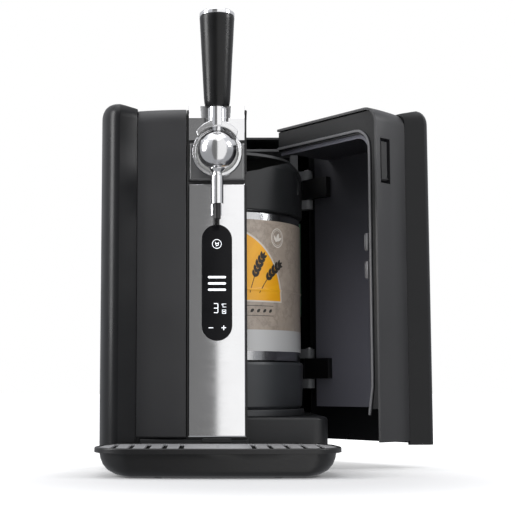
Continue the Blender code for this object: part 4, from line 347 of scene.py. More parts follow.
def soft_rubber(name, colour=(0.012, 0.012, 0.012)):
    finish = Finish(name, specular_ior_level=0.3)
    finish.set("Base Color", finish.scatter(colour, 0.15, 60.0))
    finish.set("Roughness", finish.spot.noise(300.0).ramp(0.3, 0.7, 0.68, 0.85))
    finish.relief(finish.spot.noise(1200.0, 3.0), 0.00005, 0.6)
    return finish.material


def clean_mesh(node):
    """A copy of a solid's mesh with its loose triangles joined and flat faces made whole."""
    bm = bmesh.new()
    bm.from_mesh(frame["nodes"][node].data)
    bmesh.ops.remove_doubles(bm, verts=bm.verts, dist=0.000004)
    bmesh.ops.dissolve_limit(
        bm, angle_limit=math.radians(0.6), verts=bm.verts, edges=bm.edges, delimit={"NORMAL"}
    )
    return bm


def add_piece(name, bm, material, body, slot):
    mesh = bpy.data.meshes.new(name)
    bm.to_mesh(mesh)
    bm.free()
    piece = bpy.data.objects.new(name, mesh)
    bpy.context.scene.collection.objects.link(piece)
    mesh.materials.append(material)
    mesh.shade_smooth()
    mesh.set_sharp_from_angle(angle=SHARP)
    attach(piece, body)
    return piece


def soften(piece, width):
    """A narrow rounded edge that catches the light."""
    step = piece.modifiers.new("Edge", "BEVEL")
    step.width = width
    step.segments = EDGE_STEPS
    step.limit_method = "ANGLE"
    step.angle_limit = SHARP
    step.use_clamp_overlap = True
    step.harden_normals = True
    step.miter_outer = "MITER_SHARP"
    return piece


def dress(node, material, edge=0.0):
    """A clean, smooth copy of a solid stands for it."""
    piece = add_piece(node + "_skin", clean_mesh(node), material, BODY_OF[node], SLOT_OF[node])
    if edge:
        soften(piece, edge)
    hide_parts(node)
    return piece


def dress_all(nodes, material, edge=0.0):
    for node in nodes:
        dress(node, material, edge)


def repaint(nodes, material):
    """Hidden solids keep their own mesh and take a finish."""
    for node in nodes:
        solid = frame["nodes"][node]
        solid.data.materials.clear()
        solid.data.materials.append(material)


def plate(low, high, edge=0.0):
    """A bmesh block between two corners with rounded edges."""
    bm = bmesh.new()
    middle = (Vector(low) + Vector(high)) / 2
    size = Vector(high) - Vector(low)
    matrix = Matrix.Translation(middle) @ Matrix.Diagonal((*size, 1))
    bmesh.ops.create_cube(bm, size=1, matrix=matrix)
    if edge:
        bmesh.ops.bevel(
            bm,
            geom=bm.edges,
            offset=edge,
            segments=EDGE_STEPS,
            affect="EDGES",
            profile=0.5,
            material=-1,
        )
    return bm


def spun(profile, centre, axis="z", steps=64):
    """A closed or open profile of (radius, height) spun once round."""
    bm = bmesh.new()
    verts = [bm.verts.new((radius, 0, height)) for radius, height in profile]
    for first, second in zip(verts, verts[1:]):
        bm.edges.new((first, second))
    bmesh.ops.spin(
        bm,
        geom=bm.verts[:] + bm.edges[:],
        cent=(0, 0, 0),
        axis=(0, 0, 1),
        angle=2 * math.pi,
        steps=steps,
        use_merge=True,
    )
    bmesh.ops.remove_doubles(bm, verts=bm.verts, dist=0.000001)
    bmesh.ops.recalc_face_normals(bm, faces=bm.faces)
    turn = {"z": 0, "y": -math.pi / 2}[axis]
    bmesh.ops.rotate(bm, verts=bm.verts, cent=(0, 0, 0), matrix=Matrix.Rotation(turn, 3, "X"))
    bmesh.ops.translate(bm, verts=bm.verts, vec=centre)
    return bm


def joined(meshes):
    """Several bmesh shapes in one."""
    whole = bmesh.new()
    for bm in meshes:
        mesh = bpy.data.meshes.new("joined")
        bm.to_mesh(mesh)
        bm.free()
        whole.from_mesh(mesh)
        bpy.data.meshes.remove(mesh)
    return whole


def turned_round_hinge(bm, angle):
    bmesh.ops.rotate(
        bm,
        verts=bm.verts,
        cent=(HINGE_X, HINGE_Y, 0),
        matrix=Matrix.Rotation(angle, 3, "Z"),
    )
    return bm


def outline_plate(points, front, back):
    """A flat sign in the chrome's plane: an outline of (x, z) given its thickness along Y."""
    bm = bmesh.new()
    face = bm.faces.new([bm.verts.new((x, back, z)) for x, z in points])
    grown = bmesh.ops.extrude_face_region(bm, geom=[face])["geom"]
    moved = [item for item in grown if isinstance(item, bmesh.types.BMVert)]
    bmesh.ops.translate(bm, verts=moved, vec=(0, front - back, 0))
    bmesh.ops.recalc_face_normals(bm, faces=bm.faces)
    return bm


def ring_plate(centre, outer, inner, front, back, steps=40):
    """A flat ring in the chrome's plane."""
    profile = [(inner, front), (outer, front), (outer, back), (inner, back), (inner, front)]
    return spun(profile, (centre[0], 0, centre[1]), "y", steps)


def bar_between(start, end, width, front, back):
    """A stroke with rounded ends between two (x, z) points."""
    along = Vector((end[0] - start[0], end[1] - start[1]))
    angle = math.atan2(along.y, along.x)
    points = []
    for centre, turn in ((end, -math.pi / 2), (start, math.pi / 2)):
        for i in range(7):
            around = angle + turn + math.pi * i / 6
            points.append(
                (
                    centre[0] + width / 2 * math.cos(around),
                    centre[1] + width / 2 * math.sin(around),
                )
            )
    return outline_plate(points, front, back)


class DISPENSER_OT_housing(bpy.types.Operator):
    """Painted side shells, front panels, top cover and plinth"""

    bl_idname = "dispenser.housing"
    bl_label = "Housing"

    def execute(self, context):
        paints = context.scene.dispenser_paints
        sizes = context.scene.dispenser_sizes
        # The darker shell tone is painted shade on the panels' charcoal paint
        paint = satin_paint("shell_paint_shaded", tuple(paints.shell), 0.30, 0.26)
        shells = ("left_side_shell", "right_rear_shell", "door_side_shell")
        dress_all(shells, paint, sizes.edge * 2)
        # The lighter panel tone is painted light on the same charcoal paint
        panel = satin_paint("panel_paint_lit", tuple(paints.panel), 0.42, 0.5)
        dress_all(("left_front_panel", "door_front_panel", "top_cover"), panel, sizes.edge)
        plinth = moulded_plastic("plinth_plastic", tuple(paints.plinth), 0.42, 700.0)
        dress("base_plinth", plinth, sizes.edge * 2)
        black = moulded_plastic("rear_plastic", tuple(paints.black), 0.5)
        dress("rear_panel", black, sizes.edge / 2)
        dress("power_inlet", black, sizes.edge / 2)
        feet = [node for node in BODY_OF if node.startswith("foot_")]
        dress_all(feet, soft_rubber("foot_rubber"), sizes.edge / 2)
        self.rear_screws(sizes)
        return {"FINISHED"}

    @staticmethod
    def rear_screws(sizes):
        """Pan head screws with a small round recess that hold the rear panel."""
        low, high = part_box("rear_panel")
        inset = 0.012
        steel = polished_chrome("screw_steel", (0.32, 0.32, 0.33), 0.22)
        shapes = []
        rows = (low.z + inset, (low.z + high.z) / 2 + inset, high.z - inset)
        for x in (low.x + inset, high.x - inset):
            for z in rows:
                shapes.append(screw_head((x, high.y, z), sizes.screw))
        piece = add_piece("rear_screws", joined(shapes), steel, "machine", "brushed_steel")
        return piece


def screw_head(place, radius):
    """A domed head seated on a face that looks towards +Y."""
    height = radius * 0.42
    slot = radius * 0.16
    profile = [(0, -height)]
    profile += [
        (radius * math.sin(t), -height + height * (1 - math.cos(t)) * 1.2)
        for t in (0.35, 0.7, 1.05, 1.35)
    ]
    profile += [(radius, radius * 0.1), (0, radius * 0.1)]
    head = spun(profile, (0, 0, 0), "z", 24)
    bmesh.ops.rotate(
        head, verts=head.verts, cent=(0, 0, 0), matrix=Matrix.Rotation(math.pi / 2, 3, "X")
    )
    centre = [face for face in head.faces if face.calc_center_median().length < radius * 0.5]
    bmesh.ops.inset_region(head, faces=centre, thickness=slot, depth=-slot * 0.6)
    bmesh.ops.translate(head, verts=head.verts, vec=place)
    return head


class DISPENSER_OT_column(bpy.types.Operator):
    """Black column with its chrome trim, tap block and cap"""

    bl_idname = "dispenser.column"
    bl_label = "Column"

    def execute(self, context):
        paints = context.scene.dispenser_paints
        sizes = context.scene.dispenser_sizes
        black = moulded_plastic("column_plastic", tuple(paints.black), 0.34, 1100.0)
        dress("column_frame", black, sizes.edge)
        chrome = polished_chrome("trim_chrome", tuple(paints.chrome), 0.045)
        dress_all(("front_trim", "tap_cap_plate"), chrome, sizes.edge / 3)
        smoked = polished_chrome("block_chrome", tuple(c * 0.25 for c in paints.chrome), 0.40)
        dress("tap_block", smoked, sizes.edge * 2)
        return {"FINISHED"}


class DISPENSER_OT_tap(bpy.types.Operator):
    """Chrome ball tap with its collar, lever, black grip and spout"""

    bl_idname = "dispenser.tap"
    bl_label = "Tap"

    def execute(self, context):
        paints = context.scene.dispenser_paints
        sizes = context.scene.dispenser_sizes
        chrome = polished_chrome("tap_chrome", tuple(paints.chrome), 0.10)
        dress_all(("tap_collar", "tap_lever", "spout_tube"), chrome, sizes.edge / 2)
        self.ball(polished_chrome("ball_chrome", tuple(c * 0.9 for c in paints.chrome), 0.16))
        self.cap(chrome)
        self.grip(paints)
        black = moulded_plastic("nozzle_plastic", tuple(paints.black), 0.4)
        dress("spout_nozzle", black, sizes.edge / 3)
        repaint(("tap_seat_ring",), moulded_plastic("seal_plastic", (0.6, 0.6, 0.58), 0.5))
        repaint(("tap_shank",), brushed_metal("shank_steel", tuple(paints.steel), "y"))
        repaint(("tap_inlet",), black)
        return {"FINISHED"}

    @staticmethod
    def ball(chrome):
        low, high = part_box("tap_ball")
        centre = Vector((COLUMN_X, (low.y + high.y) / 2, 0))
        radius = (high.y - low.y) / 2
        centre.z = low.z + radius
        flat = high.z - centre.z
        start = math.acos(flat / radius)
        profile = [(0, flat), (radius * math.sin(start) * 0.9, flat)]
        steps = 40
        for i in range(1, steps + 1):
            angle = start + (math.pi - start) * i / steps
            profile.append((radius * math.sin(angle), radius * math.cos(angle)))
        profile[-1] = (0, -radius)
        bm = spun(profile, centre, "z", 96)
        ball = add_piece("tap_ball_mirror", bm, chrome, "tap_handle", "chrome")
        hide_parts("tap_ball")

    @staticmethod
    def cap(chrome):
        low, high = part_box("tap_grip_cap")
        centre = ((low.x + high.x) / 2, (low.y + high.y) / 2, 0)
        radius = (high.x - low.x) / 2
        rise = high.z - low.z
        profile = [(0, low.z), (radius * 0.97, low.z), (radius, low.z + rise * 0.06)]
        for i in range(9):
            turn = math.pi / 2 * i / 8
            profile.append(
                (radius * (0.93 + 0.07 * math.cos(turn)), low.z + rise * (0.42 + 0.14 * math.sin(turn)))
            )
        for i in range(1, 13):
            turn = math.pi / 2 * i / 12
            height = low.z + rise * (0.56 + 0.44 * math.sin(turn))
            profile.append((radius * 0.93 * math.cos(turn), height))
        profile[-1] = (0, high.z)
        bm = spun(profile, centre, "z", 72)
        cap = add_piece("grip_end_cap", bm, chrome, "tap_handle", "chrome")
        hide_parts("tap_grip_cap")

    @staticmethod
    def grip(paints):
        """A waisted black grip that flares upwards, smooth all round."""
        low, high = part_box("tap_grip")
        centre = ((low.x + high.x) / 2, (low.y + high.y) / 2, 0)
        top = (high.x - low.x) / 2
        tall = high.z - low.z
        shares = (
            (0.52, 0.0),
            (0.60, 0.0),
            (0.655, 0.006),
            (0.695, 0.022),
            (0.728, 0.055),
            (0.752, 0.10),
            (0.795, 0.25),
            (0.86, 0.5),
            (0.93, 0.75),
            (0.982, 0.95),
            (0.999, 0.988),
            (0.985, 1.0),
            (0.0, 1.0),
        )
        profile = [(top * radius, low.z + tall * height) for radius, height in shares]
        finish = Finish("grip_lacquer", specular_ior_level=0.32)
        finish.set("Base Color", finish.scatter((0.004, 0.004, 0.0042), 0.1, 30.0))
        finish.set("Roughness", finish.spot.noise(40.0, 3.0).ramp(0.3, 0.7, 0.26, 0.34))
        bm = spun(profile, centre, "z", 72)
        grip = add_piece("grip_body", bm, finish.material, "tap_handle", "black_plastic")
        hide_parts("tap_grip")


class DISPENSER_OT_display(bpy.types.Operator):
    """Gloss display window with its bead and lit characters"""

    bl_idname = "dispenser.display"
    bl_label = "Display"

    def execute(self, context):
        paints = context.scene.dispenser_paints
        sizes = context.scene.dispenser_sizes
        glass = Finish("window_gloss", specular_ior_level=0.18)
        glass.set("Base Color", glass.scatter((0.004, 0.004, 0.005), 0.1, 30.0))
        glass.set("Roughness", glass.spot.noise(30.0, 3.0).ramp(0.3, 0.7, 0.10, 0.15))
        dress("display_window", glass.material, 0.0002)
        board = moulded_plastic("board_green", (0.02, 0.12, 0.05), 0.4)
        repaint(("display_board", "control_board"), board)
        self.bead(paints, sizes)
        self.legends(paints, sizes)
        return {"FINISHED"}

    @staticmethod
    def bead(paints, sizes):
        """A narrow bright rim that follows the window's outline."""
        low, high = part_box("display_window")
        radius = (high.x - low.x) / 2
        width = sizes.bead
        front = CHROME_Y - width * 0.7
        back = CHROME_Y - width * 0.02
        bm = bmesh.new()
        loops = []
        for reach, y in ((0.0, back), (0.15, front), (0.85, front), (1.0, back)):
            points = []
            for centre_z, start in ((high.z - radius, 0), (low.z + radius, math.pi)):
                for i in range(25):
                    angle = start + math.pi * i / 24
                    grown = radius + 0.0002 + width * reach
                    points.append(
                        (COLUMN_X + grown * math.cos(angle), y, centre_z + grown * math.sin(angle))
                    )
            loops.append([bm.verts.new(point) for point in points])
        edges = []
        for loop in loops:
            edges.append([bm.edges.new((a, b)) for a, b in zip(loop, loop[1:] + loop[:1])])
        for first, second in zip(edges, edges[1:] + edges[:1]):
            bmesh.ops.bridge_loops(bm, edges=first + second)
        bmesh.ops.recalc_face_normals(bm, faces=bm.faces)
        bright = polished_chrome("bead_chrome", tuple(paints.chrome), 0.08)
        add_piece("display_bead", bm, bright, "machine", "chrome")

    @staticmethod
    def legends(paints, sizes):
        """Level bars, temperature, keys and the glass sign, a hair proud of the window."""
        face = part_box("display_window")[0].y
        front = face - sizes.legend
        back = face + sizes.legend

        def bar(start, end, width):
            return bar_between(spot(*start), spot(*end), width, front, back)

        def spot(x, z):
            return (COLUMN_X + x, z)

        start, end = LEVEL_ENDS
        shapes = [bar((start, z), (end, z), LEVEL_WIDTH) for z in LEVELS]
        shapes += digit_three(bar, FIGURE, FIGURE_WIDE, FIGURE_TALL)
        shapes.append(ring_plate(spot(*DEGREE), 0.0009, 0.0005, front, back, 20))
        shapes += letter_c(bar, LETTER, 0.0017)
        shapes += small_keg_sign(bar, KEG_SIGN)
        for x, z in (MINUS, PLUS):
            shapes.append(bar((x - KEY_HALF, z), (x + KEY_HALF, z), STROKE))
        shapes.append(bar((x, z - KEY_HALF), (x, z + KEY_HALF), STROKE))
        shapes.append(ring_plate(spot(*GLASS_SIGN), GLASS_RING, 0.0046, front, back))
        shapes += glass_sign(bar, GLASS_SIGN)
        finish = Finish("legend_light", roughness=0.4)
        colour = tuple(paints.legend)
        finish.set("Base Color", finish.scatter(tuple(c * 0.8 for c in colour), 0.05, 200.0))
        finish.set("Emission Color", finish.scatter(colour, 0.05, 200.0))
        finish.set("Emission Strength", 0.9)
        add_piece("display_legends", joined(shapes), finish.material, "machine", "gloss_black")


def digit_three(bar, centre, width, height):
    """Seven segment figure of the temperature."""
    x, z = centre
    half, rise = width / 2, height / 2
    gap = STROKE * 0.7
    strokes = [
        ((x - half + gap, z + level), (x + half - gap, z + level)) for level in (rise, 0, -rise)
    ]
    strokes += [((x + half, z + gap), (x + half, z + rise - gap))]
    strokes += [((x + half, z - rise + gap), (x + half, z - gap))]
    return [bar(start, end, STROKE) for start, end in strokes]


def letter_c(bar, centre, half):
    x, z = centre
    signs = ((1, 1), (-1, 1), (-1, -1), (1, -1))
    places = [(x + half * right, z + half * up) for right, up in signs]
    return [bar(start, end, THIN_STROKE) for start, end in zip(places, places[1:])]


def small_keg_sign(bar, centre):
    x, z = centre
    half = 0.0019
    signs = ((-1, 1), (1, 1), (1, -1), (-1, -1))
    corners = [(x + half * right, z + half * up) for right, up in signs]
    ends = corners[1:] + corners[:1]
    strokes = [bar(start, end, THIN_STROKE) for start, end in zip(corners, ends)]
    strokes.append(bar((x - half * 0.4, z), (x + half * 0.4, z), 0.0009))
    return strokes


def glass_sign(bar, centre):
    """A small tilted glass with a line of beer, inside its ring."""
    x, z = centre
    return [
        bar((x - 0.0016, z + 0.0020), (x - 0.0006, z - 0.0021), 0.0006),
        bar((x - 0.0006, z - 0.0021), (x + 0.0015, z - 0.0014), 0.0006),
        bar((x + 0.0015, z - 0.0014), (x + 0.0020, z + 0.0016), 0.0006),
        bar((x - 0.0012, z + 0.0004), (x + 0.0018, z + 0.0009), 0.0007),
    ]


def band_radius(z):
    """The keg band's surface with its raised bead."""
    return KEG_RADIUS - BEAD_RISE + BEAD_RISE * max(0.0, 1 - abs(z - BEAD_Z) / BEAD_HALF)


def wrap_on_band(bm, lift):
    """Bends a flat sheet of (arc length, 0, height) round the keg's band."""
    for vert in bm.verts:
        angle = vert.co.x / KEG_RADIUS
        radius = band_radius(vert.co.z) + lift + vert.co.y
        place = (KEG_X + radius * math.sin(angle), KEG_Y - radius * math.cos(angle), vert.co.z)
        vert.co = place
    return bm


def flat_leaf(centre, length, width, angle, steps=10):
    """A pointed grain shape in the plane of the band."""
    bm = bmesh.new()
    rim = []
    for side in (1, -1):
        for i in range(steps):
            share = i / steps if side > 0 else 1 - i / steps
            along = (share - 0.5) * length
            across = side * width / 2 * math.sin(math.pi * share) ** 0.8
            turned = (
                along * math.cos(angle) - across * math.sin(angle),
                along * math.sin(angle) + across * math.cos(angle),
            )
            rim.append(bm.verts.new((centre[0] + turned[0], 0, centre[1] + turned[1])))
    bmesh.ops.contextual_create(bm, geom=rim)
    return bm


def flat_stroke(points, width):
    """A thin ribbon through points, in the plane of the band."""
    bm = bmesh.new()
    sides = []
    for i, point in enumerate(points):
        before = Vector(points[max(i - 1, 0)])
        after = Vector(points[min(i + 1, len(points) - 1)])
        along = (after - before).normalized()
        across = Vector((-along.y, along.x)) * width / 2
        pair = [Vector(point) + across, Vector(point) - across]
        sides.append([bm.verts.new((p.x, 0, p.y)) for p in pair])
    for first, second in zip(sides, sides[1:]):
        bmesh.ops.contextual_create(bm, geom=first + second)
    return bm


def barley_ear(foot, angle, bend):
    """Stem and paired grains of one ear, curving as it rises."""
    grains, grain = GRAIN_COUNT, GRAIN_LENGTH
    shapes = []
    point = Vector(foot)
    heading = angle
    trail = [tuple(point)]
    for i in range(3):
        point = point + Vector((math.cos(heading), math.sin(heading))) * grain * 0.6
        heading += bend * 0.5
        trail.append(tuple(point))
    for i in range(grains):
        size = grain * (1.0 - 0.35 * abs(i - grains * 0.4) / grains)
        for side in (1, -1):
            lean = heading + side * 0.52
            reach = Vector((math.cos(lean), math.sin(lean))) * size * 0.55
            shapes.append(flat_leaf(tuple(point + reach), size, size * 0.42, lean))
        point = point + Vector((math.cos(heading), math.sin(heading))) * size * 0.62
        heading += bend
        trail.append(tuple(point))
    shapes.append(flat_leaf(tuple(point), grain * 0.9, grain * 0.3, heading))
    shapes.append(flat_stroke(trail, grain * 0.09))
    return shapes


class DISPENSER_OT_keg(bpy.types.Operator):
    """Steel keg with dark rings and a printed band of plain, generic design"""

    bl_idname = "dispenser.keg"
    bl_label = "Keg"

    def execute(self, context):
        paints = context.scene.dispenser_paints
        sizes = context.scene.dispenser_sizes
        steel = brushed_metal("keg_steel", tuple(paints.steel), "z", 0.20)
        dress("keg_shell", steel, sizes.edge)
        ring = moulded_plastic("keg_ring_plastic", tuple(paints.keg_ring), 0.40, 800.0, 0.00003)
        dress("keg_base_ring", ring, sizes.edge)
        tone = tuple(c * 0.3 for c in paints.keg_ring)
        dress("keg_crown", moulded_plastic("keg_crown_plastic", tone, 0.42, 800.0), sizes.edge)
        black = moulded_plastic("valve_plastic", tuple(paints.black), 0.45)
        dress("keg_valve", black, sizes.edge)
        self.band(paints)
        self.motif(paints)
        return {"FINISHED"}

    @staticmethod
    def band(paints):
        low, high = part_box("keg_label")
        inner = KEG_RADIUS - BAND_WALL
        profile = [(inner, low.z)]
        places = [low.z, low.z + BAND_EDGE]
        places += [BEAD_ROWS_LOW + BEAD_ROWS_TALL * i / BEAD_ROWS for i in range(BEAD_ROWS + 1)]
        places += [high.z - BAND_EDGE, high.z]
        profile += [(band_radius(z), z) for z in places]
        profile += [(inner, high.z), (inner, low.z)]
        band = spun(profile, (KEG_X, KEG_Y, 0), "z", 144)
        piece = add_piece("keg_band", band, band_print_and_painted_shade(paints), "keg", "label_print")
        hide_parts("keg_label")

    @staticmethod
    def motif(paints):
        """Barley ears on the sun panel, a small seal above it and a line of dots below."""
        shapes = []
        for foot, angle, bend in EARS:
            shapes += barley_ear((foot, EARS_FOOT), angle, bend)
            shapes += barley_ear((-foot, EARS_FOOT), math.pi - angle, -bend)
        for i in range(-8, 9):
            shapes.append(flat_leaf((i * 0.0082, LINE_OF_GRAINS_Z), 0.0058, 0.0034, 0.7))
        for height in LINE_HEIGHTS:
            shapes.append(flat_stroke([(-0.070 + i * 0.0070, height) for i in range(21)], 0.0006))
        bm = joined(shapes)
        bmesh.ops.subdivide_edges(
            bm, edges=[e for e in bm.edges if e.calc_length() > 0.006], cuts=1
        )
        wrap_on_band(bm, INK_LIFT)
        ink = moulded_plastic("band_ink", (0.020, 0.017, 0.014), 0.5, 1200.0, 0.00001)
        add_piece("keg_motif", bm, ink, "keg", "label_print")

        seal = [flat_leaf((0.0775, 0.2585), 0.0105, 0.0042, math.radians(70))]
        seal.append(flat_leaf((0.0735, 0.2570), 0.0085, 0.0030, math.radians(115)))
        seal.append(flat_leaf((0.0805, 0.2565), 0.0085, 0.0030, math.radians(30)))
        x, z = SEAL_CENTRE
        for radius, width in ((0.0092, 0.0009), (0.0074, 0.0004)):
            turns = [math.pi * i / 20 for i in range(41)]
            ring = [(x + radius * math.cos(t), z + radius * SEAL_OVAL * math.sin(t)) for t in turns]
            seal.append(flat_stroke(ring, width))
        bm = wrap_on_band(joined(seal), INK_LIFT)
        pale = moulded_plastic("band_pale_ink", (0.70, 0.66, 0.60), 0.5, 1200.0, 0.00001)
        add_piece("keg_seal", bm, pale, "keg", "label_print")


def band_print_and_painted_shade(paints):
    """Taupe ground with stone-like veins, a sun panel with a pale rim, a white foot printed mid grey as
    painted shade.
    """
    finish = Finish("keg_band_print_and_painted_shade", coat_weight=0.35, coat_roughness=0.12)
    x = finish.spot.part("X") - KEG_X
    y = finish.spot.part("Y") - KEG_Y
    height = finish.spot.part("Z")
    arc = x.math("ARCTAN2", y * -1) * KEG_RADIUS
    veins = abs(finish.spot.noise(34.0, 5.0, 0.65) - 0.5).ramp(0.0, 0.035, 1.0, 0.0)
    mottle = finish.spot.noise(120.0, 4.0, 0.6).ramp(0.25, 0.8)
    ground = tuple(paints.band)
    pale = tuple(min(1, c * 1.25) for c in ground)
    dark = tuple(c * 0.66 for c in ground)
    colour = mottle.blend((*ground, 1), (*pale, 1))
    colour = (veins * 0.45).blend(colour, (*dark, 1))
    centre = height - SUN_Z
    reach = (arc * arc + centre * centre) ** 0.5
    above = centre.ramp(-0.0002, 0.0002)
    rim = reach.ramp(SUN_RIM, SUN_RIM + 0.0004, 1.0, 0.0)
    rim = rim * (centre + 0.0016).ramp(-0.0002, 0.0002)
    panel = reach.ramp(SUN_EDGE, SUN_EDGE + 0.0004, 1.0, 0.0) * above
    ray = (arc.math("ARCTAN2", centre) * 26.0).math("SINE").ramp(-0.25, 0.25)
    glow = reach.ramp(0.030, 0.082)
    gold = tuple(paints.gold)
    deep = tuple(c * s for c, s in zip(gold, (0.92, 0.80, 0.7)))
    sun = (ray * 0.35 * glow).blend((*gold, 1), (*deep, 1))
    colour = rim.blend(colour, (0.62, 0.57, 0.50, 1))
    colour = panel.blend(colour, sun)
    # Painted shade: the white foot band takes a mid grey
    foot = height.ramp(FOOT_TOP, FOOT_TOP + 0.0002, 1.0, 0.0)
    colour = foot.blend(colour, (0.52, 0.52, 0.515, 1))
    finish.set("Base Color", colour)
    finish.set("Roughness", mottle * 0.1 + 0.30)
    finish.relief(finish.spot.noise(500.0, 2.0), 0.00002, 0.25)
    return finish.material


class DISPENSER_OT_door_inside(bpy.types.Operator):
    """Grey liner, bead, clips, hinge and latch of the door"""

    bl_idname = "dispenser.door_inside"
    bl_label = "Inside of the door"

    def execute(self, context):
        paints = context.scene.dispenser_paints
        sizes = context.scene.dispenser_sizes
        dress("door_liner", self.liner_plastic_with_painted_light(paints), sizes.edge)
        bead = moulded_plastic("bead_plastic", (0.10, 0.10, 0.105), 0.38, 500.0)
        dress("door_seal", bead, sizes.edge)
        black = moulded_plastic("hinge_plastic", tuple(paints.black), 0.4)
        dress_all(("door_arm_lower", "door_arm_upper", "latch_lever"), black, sizes.edge)
        post = moulded_plastic("post_plastic", (0.16, 0.164, 0.17), 0.42)
        dress("hinge_post", post, sizes.edge)
        steel = brushed_metal("pin_steel", tuple(paints.steel), "z", 0.3)
        dress_all(("hinge_pin_lower", "hinge_pin_upper"), steel, sizes.edge / 2)
        dark_steel = brushed_metal("latch_steel", (0.05, 0.05, 0.05), "x", 0.35)
        dress("latch_pin", dark_steel, sizes.edge / 3)
        self.clips(sizes, bead)
        return {"FINISHED"}

    @staticmethod
    def liner_plastic_with_painted_light(paints):
        """Dark frame and pale ledge; the recess grows paler towards its foot, a painted bounce light
        from the floor.
        """
        finish = Finish("liner_plastic_with_painted_light", specular_ior_level=0.3)
        depth = (finish.spot.part("X") - HINGE_X) * math.cos(DOOR_TURN)
        depth = depth + (finish.spot.part("Y") - HINGE_Y) * math.sin(DOOR_TURN) + RIM_FROM_HINGE
        # Painted bounce light: the wall is darker at the top and lighter towards its foot
        low = finish.spot.part("Z").ramp(*BOUNCE_LIGHT_HEIGHTS, 1.0, 0.0)
        base = tuple(paints.liner)
        rim, ledge, top, foot = (
            (*(c * tone for c in base), 1)
            for tone in (FRAME_TONE, LEDGE_TONE, WALL_TOP_SHADE_TONE, WALL_FOOT_BOUNCE_LIGHT_TONE)
        )
        colour = depth.ramp(*LEDGE_DEPTHS, 1.0, 0.0).blend(low.blend(top, foot), ledge)
        colour = depth.ramp(*FRAME_DEPTHS, 1.0, 0.0).blend(colour, rim)
        finish.set("Base Color", colour)
        cells = finish.spot.noise(500.0, 3.0, 0.6)
        finish.set("Roughness", cells.ramp(0.3, 0.7, 0.40, 0.52))
        finish.relief(cells, 0.00003, 0.5)
        return finish.material

    @staticmethod
    def clips(sizes, material):
        """Two spring clips in the front rim that hold the bead's carrier strip."""
        face = HINGE_X - RIM_FROM_HINGE
        front = HINGE_Y - RIM_FRONT_FROM_HINGE
        body = ((0.0006, -0.0014, 0.0), (0.0040, 0.0030, 0.0), sizes.edge)
        tongue = ((0.0002, 0.0022, 0.0015), (0.0012, 0.0034, -0.0015), sizes.edge * 0.6)
        shapes = []
        for foot in CLIP_HEIGHTS:
            for near, far, edge in (body, tongue):
                low = Vector((face, front, foot)) + Vector(near)
                high = Vector((face, front, foot + sizes.clip)) + Vector(far)
                shapes.append(plate(low, high, edge))
        bm = turned_round_hinge(joined(shapes), DOOR_TURN)
        add_piece("door_clips", bm, material, "door", "grey_plastic")


class DISPENSER_OT_tray(bpy.types.Operator):
    """Black drip tray and its brushed, slotted grid"""

    bl_idname = "dispenser.tray"
    bl_label = "Drip tray"

    def execute(self, context):
        paints = context.scene.dispenser_paints
        sizes = context.scene.dispenser_sizes
        black = moulded_plastic("tray_plastic", tuple(c * 1.2 for c in paints.black), 0.36, 900.0)
        dress_all(("drip_tray", "tray_tab"), black, sizes.edge)
        dress("drip_grid", self.satin_grid(), sizes.edge / 2)
        return {"FINISHED"}

    @staticmethod
    def satin_grid():
        """Light, finely brushed steel that stays bright at a low angle."""
        finish = Finish("grid_steel", metallic=0.55)
        strands = finish.spot.stretched((30, 2400, 2400)).noise(1.0, 3.0, 0.6)
        shade = strands.ramp(0.3, 0.7).blend((0.32, 0.32, 0.33, 1), (0.46, 0.46, 0.47, 1))
        finish.set("Base Color", shade)
        finish.set("Roughness", strands.ramp(0.3, 0.7, 0.42, 0.58))
        finish.relief(strands, 0.00002, 0.4)
        return finish.material


class DISPENSER_OT_inside(bpy.types.Operator):
    """Chamber, cooling parts, fan, pump and lines behind the keg"""

    bl_idname = "dispenser.inside"
    bl_label = "Inside"

    def execute(self, context):
        paints = context.scene.dispenser_paints
        sizes = context.scene.dispenser_sizes
        dark = moulded_plastic("chamber_plastic", tuple(c * 1.5 for c in paints.black), 0.5)
        dress("chamber_liner", dark, sizes.edge)
        ceiling = moulded_plastic("ceiling_plastic", (0.10, 0.102, 0.106), 0.5)
        dress("chamber_ceiling", ceiling, sizes.edge)
        seat = moulded_plastic("seat_plastic", (0.045, 0.047, 0.050), 0.42)
        dress("keg_seat", seat, sizes.edge)
        dress("keg_coupler", dark, sizes.edge)
        alloy = brushed_metal("cooling_alloy", (0.62, 0.63, 0.64), "z", 0.34)
        dress_all(("cooling_plate", "heat_sink"), alloy)
        repaint(("cooling_module",), moulded_plastic("module_ceramic", (0.7, 0.7, 0.68), 0.5))
        dress_all(("fan_frame", "fan_rotor"), dark, sizes.edge / 2)
        case = brushed_metal("case_steel", tuple(paints.steel), "x", 0.34)
        dress_all(("air_pump", "power_supply"), case, sizes.edge)
        hose = soft_rubber("hose_rubber", (0.02, 0.02, 0.022))
        dress("air_hose", hose)
        tube = Finish("line_silicone", transmission_weight=0.35)
        tube.set("Base Color", tube.scatter((0.66, 0.69, 0.70), 0.05, 60.0))
        tube.set("Roughness", tube.spot.noise(90.0).ramp(0.3, 0.7, 0.22, 0.32))
        dress("beer_tube", tube.material)
        return {"FINISHED"}


